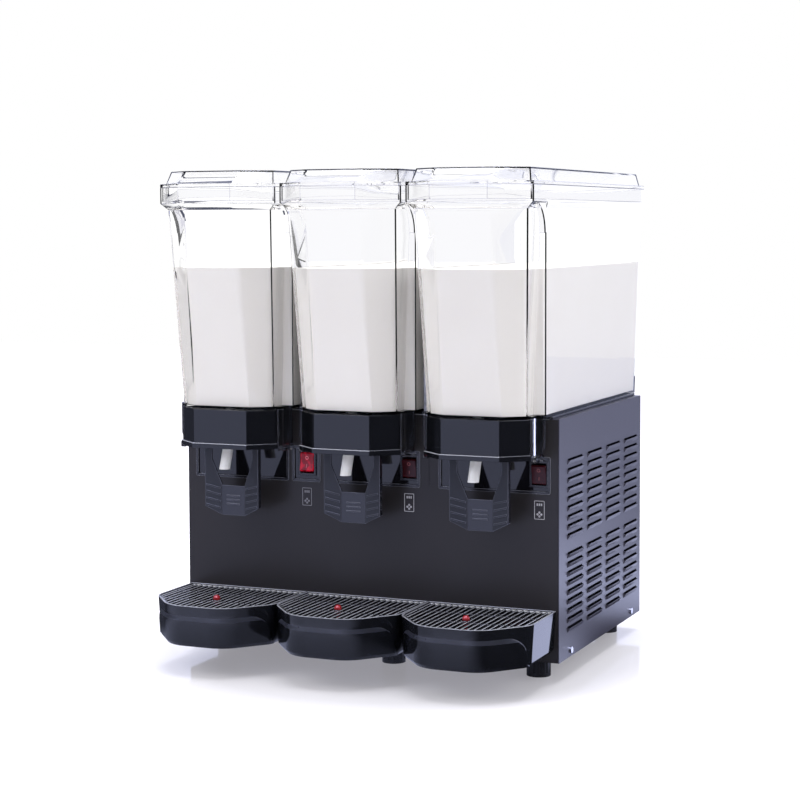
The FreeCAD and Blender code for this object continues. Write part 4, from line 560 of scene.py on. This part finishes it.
# Spouts: the soft pinch tube that hangs from each tank, squeezed shut by the lever.
# White silicone, translucent enough to look soft, with no gloss.
silicone = moulded("white_silicone", "#e6e6ea", 0.45, 4.0, 0.03, deeper="#dededf")
dress(silicone, *["spout_" + side for side in SIDES])

# Dispensing levers: a forked arm with a push pad, hinged on a steel pin and sprung back.
# Satin black ABS; the ribbed wings, turned aside from the pad, carry a painted shade darker than the smooth
# pad between them and a rougher textured gloss, and the broken edges carry a painted highlight.
LEVER_EDGE = 0.6 * MM
satin_black = moulded("satin_black_abs", "#20212a", 0.16, 1.5, 0.03, deeper="#24252e")
# Painted highlight for the rounded edges, and painted shade for the wings turned aside from the pad.
lever_painted_highlight = moulded("painted_highlight_lever_edge", "#5c5e6b", 0.2, 1.5, 0.03, deeper="#525461")
wing_painted_shade = moulded("painted_shade_textured_black_abs", "#101117", 0.5, 1.2, 0.1, deeper="#15161c")
for side in SIDES:
    lever = softened("lever_" + side, LEVER_EDGE, "lever_black", satin_black, lever_painted_highlight)
    paint_light_and_shade(lever, wing_painted_shade, lambda face: 0.12 < abs(face.normal.x) < 0.7 and face.normal.y < -0.5)
spring_steel = bare_metal("bright_spring_steel", "#c4c4c8", 0.24, (700.0, 700.0, 700.0))
dress(spring_steel, "lever_pins", "lever_springs")

# Drip trays: a deep moulded tray hangs under each spout, with a lift-out slotted grille
# and a red float that rises through it when the tray is full.
# Gloss black ABS with painted highlights: a light line along the tray's rim and the slats' edges, a
# faint lighter tone on its step and on the turned ends of its front, and bright where the slots end at the
# back.
TRAY_EDGE = 0.8 * MM
SLAT_EDGE = 0.8 * MM
FLOAT_EDGE = 0.5 * MM
RIM_DEEP = 1.3 * MM
BACK_FRAME = 6 * MM
STEP_DEEP = 24 * MM
STEP_OUT = 112 * MM

slat_black = moulded("slat_black_abs", "#1c1d22", 0.16, 6.0, 0.03, deeper="#18191d")
# Painted highlights for the slats' edges, the slot ends, the rim and the step.
slat_painted_highlight = moulded("painted_highlight_slat_edge", "#b9bbc6", 0.25, 3.0, 0.03, deeper="#a3a5b0")
slot_end_painted_highlight = moulded("painted_highlight_slot_end", "#f2f3f8", 0.2, 3.0, 0.02, deeper="#e6e7ee")
rim_painted_highlight = moulded("painted_highlight_tray_rim", "#a9abb6", 0.25, 9.0, 0.03, deeper="#8a8c97")
step_painted_highlight = moulded("painted_highlight_tray_step", "#2b2d36", 0.3, 9.0, 0.03, deeper="#272932")
float_red = moulded("red_polypropylene", "#b01c22", 0.35, 5.0, 0.02, deeper="#a0181e")
for side in SIDES:
    tray = softened("tray_" + side, TRAY_EDGE, "gloss_black", gloss_black, sharp=40, crease=10, flat=0.05)
    rim_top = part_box("tray_" + side)[1].z
    paint_light_and_shade(tray, rim_painted_highlight, lambda face: face.center.z > rim_top - RIM_DEEP)
    paint_light_and_shade(tray, step_painted_highlight, lambda face: 0.05 < face.normal.z < 0.6 and face.normal.y < -0.3
         and STEP_DEEP > rim_top - face.center.z > RIM_DEEP)
    paint_light_and_shade(tray, step_painted_highlight, lambda face: abs(face.normal.y) < 0.3 and face.center.y < FRONT - STEP_OUT)
    grille = softened("grille_" + side, SLAT_EDGE, "gloss_black", slat_black)
    grille_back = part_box("grille_" + side)[1].y
    paint_light_and_shade(grille, slat_painted_highlight, lambda face: 0.2 < face.normal.z < 0.95 and abs(face.normal.y) < 0.3)
    paint_light_and_shade(grille, slot_end_painted_highlight, lambda face: face.normal.y < -0.3 and face.center.y > grille_back - BACK_FRAME)
    softened("float_" + side, FLOAT_EDGE, "float_red", float_red)

# Shade mat: a matt black sheet behind the rear panel's air slots, put there as painted shade so that no
# light comes through them.
# Four millimetres thick, with rounded corners.
MAT_AT = (105 * MM, 390.6 * MM + CABINET_FRONT, 165 * MM)
MAT_SIZE = (246 * MM, 4 * MM, 190 * MM)
MAT_CORNER = 3 * MM
# Its matt black finish is painted shade.
foam = moulded("painted_shade_black_sheet", "#0e0e10", 0.85, 2.0, 0.3, deeper="#151517")
bm = bmesh.new()
bmesh.ops.create_cube(bm, size=1.0, matrix=Matrix.Translation(MAT_AT) @ Matrix.Diagonal((*MAT_SIZE, 1)))
upright = [e for e in bm.edges if abs(e.verts[0].co.y - e.verts[1].co.y) > MAT_SIZE[1] / 2]
bmesh.ops.bevel(bm, geom=upright, offset=MAT_CORNER, offset_type="OFFSET", segments=4, profile=0.5,
                affect="EDGES", material=-1)
placed(bm, "painted_shade_mat", "cabinet", "seal_rubber", foam)

# Levelling feet: five short fluted feet screwed into the base pan.
# Black polypropylene, matt on the crests and greasy in the flutes.
foot_black = moulded("black_polypropylene", "#17171a", 0.42, 2.0, 0.06, deeper="#202024")
dress(foot_black, *[name for name in NODES if name.startswith("foot_")])

# Cooling unit: compressor, condenser with its fan, and the pipes between them.
# Black enamelled steel shell, black lacquered fins, nylon fan and drawn copper tube.
enamel = moulded("black_enamel", "#111113", 0.18, 12.0, 0.03, deeper="#161618")
lacquer = moulded("black_lacquered_fins", "#121214", 0.4, 3.0, 0.04, deeper="#18181b")
fan_nylon = moulded("grey_fan_nylon", "#3a3b3e", 0.45, 3.0, 0.04, deeper="#333437")
copper = bare_metal("drawn_copper", "#b87350", 0.3, (900.0, 900.0, 900.0))
dress(enamel, "compressor")
dress(lacquer, "condenser")
dress(fan_nylon, "fan_rotor", "fan_frame")
dress(copper, "refrigerant_pipes")

# Stirrer and fan motors, wiring box and cord gland.
# Zinc plated motor shells and a black nylon box and gland.
zinc = bare_metal("zinc_plate", "#9fa0a6", 0.36, (500.0, 500.0, 500.0))
dress(zinc, "stirrer_motors", "fan_motor")
dress(switch_black, "wiring_box", "cable_gland")

# Panel screws: the cross-headed screws that hold the side panels, low down at the front and rear.
# Bright plated steel.
screw_plate = bare_metal("bright_plated_steel", "#d0d0d4", 0.2, (900.0, 900.0, 900.0))
dress(screw_plate, "panel_screws")

# Studio: a white table in a white room, with a dark side to the front right.
# The room is white to the eye and through the tanks; what gloss mirrors is blue grey in front,
# almost black to the left and front right, very bright on the right and calmer behind.
FLOOR_HALF = 6.0
WHITE = (1, 1, 1, 1)
FILL = 0.55
THROUGH = 1.12
ROOM_LEVEL = 0.12
# Each part of the room: its direction, the cosines where it starts and is full, its change in level.
# In turn the grey front, the bright right, the calmer back, the upper walls and the ceiling lamp.
ROOM_PARTS = (((-0.3, -0.95, 0.0), 0.8, 0.95, 1.4), ((0.92, 0.39, 0.0), 0.8, 0.98, 2.6),
              ((0.3, 0.95, 0.0), 0.6, 0.95, 0.62), ((0.0, 0.0, 1.0), 0.03, 0.3, 1.2),
              ((-0.1, -0.25, 0.96), 0.8, 0.93, 12.0))


def room_light(tree, place):
    """The light that gloss mirrors, as a Background or Emission strength, by direction."""
    toward = add(tree, "VectorMath", {"operation": "NORMALIZE"}, _0=place).outputs["Vector"]
    level = ROOM_LEVEL
    for aim, first, last, change in ROOM_PARTS:
        facing = add(tree, "VectorMath", {"operation": "DOT_PRODUCT"}, _0=toward, _1=aim)
        lobe = add(tree, "MapRange", {"interpolation_type": "SMOOTHSTEP"}, Value=facing.outputs["Value"],
                   From_Min=first, From_Max=last, To_Max=change)
        level = add(tree, "Math", _0=lobe.outputs["Result"], _1=level).outputs["Value"]
    return level


MIRRORED = colour("#d2d9ff")
# Where the room's directions are taken from on the table: behind the cabinet, so that the table
# close in front of the trays still counts as the front.
TABLE_CENTRE = (0.1, 0.35, 0.0)
# A painted pool of light on the table, seen only in gloss: the bright strip that the right tray's side
# mirrors, turned to run along the sight line and longer than it is wide, so that the cabinet's side
# hardly meets it.
STRIP_AT = (0.368, 0.081, 0.0)
STRIP_TURN = 0.308
STRIP_SQUEEZE = (5.4, 0.93, 1.0)
STRIP_REACH = (0.13, 0.2)
STRIP_LEVEL = 2.5
# Distances from the middle of the table between which it changes, and what it changes between: how
# white it reads, how much it mirrors, and how bright it is where gloss mirrors it.
WHITER, WHITENESS = (0.3, 1.2), (0.42, 0.85)
DULLER, POLISH = (0.34, 0.5), (0.3, 0.03)
# Near the machine the table, as gloss mirrors it, is dimmed to the near level: a painted shadow of the
# machine.
NEARER, NEAR_LEVEL = (0.35, 0.7), 0.35


def table_top(name):
    """White laminate: takes the shadow, reads white round it, and mirrors the feet faintly."""
    made, tree, surface = new_finish(name)
    place = add(tree, "TexCoord").outputs["Object"]
    out = add(tree, "VectorMath", {"operation": "LENGTH"}, _0=place).outputs["Value"]
    smear = add(tree, "TexNoise", Vector=place, Scale=1 / (35 * MM), Detail=2.0)
    gloss = add(tree, "MapRange", Value=smear.outputs["Fac"], To_Min=0.05, To_Max=0.1)
    taking = add(tree, "BsdfDiffuse", Color=colour("#eeedf2"))
    rising = add(tree, "MapRange", Value=out, From_Min=WHITER[0], From_Max=WHITER[1],
                 To_Min=WHITENESS[0], To_Max=WHITENESS[1])
    rays = add(tree, "LightPath")
    eye = add(tree, "Math", {"operation": "MAXIMUM"}, _0=rays.outputs["Is Camera Ray"],
              _1=rays.outputs["Is Transmission Ray"])
    shown = add(tree, "Math", {"operation": "MULTIPLY"}, _0=rising.outputs["Result"],
                _1=eye.outputs["Value"])
    lift = add(tree, "Emission", Color=colour("#f4f2fa"), Strength=shown.outputs["Value"])
    both = add(tree, "AddShader", _0=taking.outputs["BSDF"], _1=lift.outputs["Emission"])
    shine = add(tree, "BsdfGlossy", Roughness=gloss.outputs["Result"])
    polish = add(tree, "MapRange", Value=out, From_Min=DULLER[0], From_Max=DULLER[1],
                 To_Min=POLISH[0], To_Max=POLISH[1])
    seen = add(tree, "MixShader", _0=polish.outputs["Result"], _1=both.outputs["Shader"],
               _2=shine.outputs["BSDF"])
    aside = add(tree, "VectorMath", {"operation": "SUBTRACT"}, _0=place, _1=TABLE_CENTRE)
    # Painted shadow: what gloss mirrors of the table darkens close to the machine.
    mirrored_painted_shadow = add(tree, "MapRange", Value=out, From_Min=NEARER[0], From_Max=NEARER[1], To_Min=NEAR_LEVEL)
    dimmed = add(tree, "Math", {"operation": "MULTIPLY"}, _0=mirrored_painted_shadow.outputs["Result"],
                 _1=room_light(tree, aside.outputs["Vector"]))
    # Painted pool of light: a bright strip on the table that only gloss sees.
    off_strip = add(tree, "VectorMath", {"operation": "SUBTRACT"}, _0=place, _1=STRIP_AT)
    turned = add(tree, "Mapping", Vector=off_strip.outputs["Vector"], Rotation=(0.0, 0.0, STRIP_TURN))
    squeezed = add(tree, "VectorMath", {"operation": "MULTIPLY"}, _0=turned.outputs["Vector"],
                   _1=STRIP_SQUEEZE)
    reach = add(tree, "VectorMath", {"operation": "LENGTH"}, _0=squeezed.outputs["Vector"])
    strip = add(tree, "MapRange", {"interpolation_type": "SMOOTHSTEP"}, Value=reach.outputs["Value"],
                From_Min=STRIP_REACH[0], From_Max=STRIP_REACH[1], To_Min=STRIP_LEVEL, To_Max=0.0)
    level = add(tree, "Math", _0=dimmed.outputs["Value"], _1=strip.outputs["Result"])
    mirrored = add(tree, "Emission", Color=MIRRORED, Strength=level.outputs["Value"])
    mix = add(tree, "MixShader", _0=rays.outputs["Is Glossy Ray"], _1=seen.outputs["Shader"],
              _2=mirrored.outputs["Emission"])
    tree.links.new(mix.outputs["Shader"], surface)
    return made


bm = bmesh.new()
bmesh.ops.create_grid(bm, x_segments=1, y_segments=1, size=FLOOR_HALF)
mesh = bpy.data.meshes.new("floor")
bm.to_mesh(mesh)
bm.free()
floor = bpy.data.objects.new("floor", mesh)
bpy.context.scene.collection.objects.link(floor)
floor.data.materials.append(table_top("white_table"))

world = bpy.data.worlds.new("studio")
bpy.context.scene.world = world
world.use_nodes = True
tree = world.node_tree
tree.nodes.clear()
output = tree.nodes.new("ShaderNodeOutputWorld")
rays = add(tree, "LightPath")
fill = add(tree, "Background", Color=WHITE, Strength=FILL)
seen = add(tree, "Background", Color=WHITE, Strength=1.0)
through = add(tree, "Background", Color=WHITE, Strength=THROUGH)
mirrored = add(tree, "Background", Color=MIRRORED,
               Strength=room_light(tree, add(tree, "TexCoord").outputs["Object"]))
shown = fill
for ray, light in (("Is Glossy Ray", mirrored), ("Is Transmission Ray", through), ("Is Camera Ray", seen)):
    under = shown.outputs["Background" if shown is fill else "Shader"]
    shown = add(tree, "MixShader", _0=rays.outputs[ray], _1=under, _2=light.outputs["Background"])
tree.links.new(shown.outputs["Shader"], output.inputs["Surface"])


def soft_box(name, place, aim, size, power):
    """A square area light, turned toward a point of the machine."""
    lamp = bpy.data.lights.new(name, "AREA")
    lamp.energy = power
    lamp.size = size
    lamp_object = bpy.data.objects.new(name, lamp)
    lamp_object.location = place
    lamp_object.rotation_euler = (Vector(aim) - Vector(place)).to_track_quat("-Z", "Y").to_euler()
    bpy.context.scene.collection.objects.link(lamp_object)


soft_box("key_light", (-1.6, -1.8, 2.2), (0, 0, 0.35), 1.6, 24)
soft_box("side_light", (2.4, -0.3, 1.4), (0, 0, 0.3), 1.4, 13)
soft_box("top_light", (0, 0.2, 2.6), (0, 0, 0.3), 1.8, 58)

# Camera: turned 23 degrees round to the front right, 3.5 degrees down, with a long lens.
# It stands where the photograph's straight edges put it, measured from the front panel's foot.
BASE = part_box("side_panel_right")[0].z
YAW = 0.404337
PITCH = 0.060994
ROLL = 0.003216
FOCAL_ROWS = 1944.3
SENSOR = 36.0
PICTURE = 800
AXIS_ROW = 340
CAMERA_AT = (1.12746, -2.5103, 0.60737)
camera = bpy.data.cameras.new("camera")
camera.sensor_width = SENSOR
camera.lens = FOCAL_ROWS / PICTURE * SENSOR
camera.shift_y = -(PICTURE / 2 - AXIS_ROW) / PICTURE
camera.clip_start = 0.05
camera.clip_end = 50
view = bpy.data.objects.new("camera", camera)
view.location = (CAMERA_AT[0], FRONT + CAMERA_AT[1], BASE + CAMERA_AT[2])
view.rotation_euler = Euler((math.pi / 2 - PITCH, ROLL, YAW), "XYZ")
bpy.context.scene.collection.objects.link(view)
bpy.context.scene.camera = view
bpy.context.scene.view_settings.view_transform = "Standard"
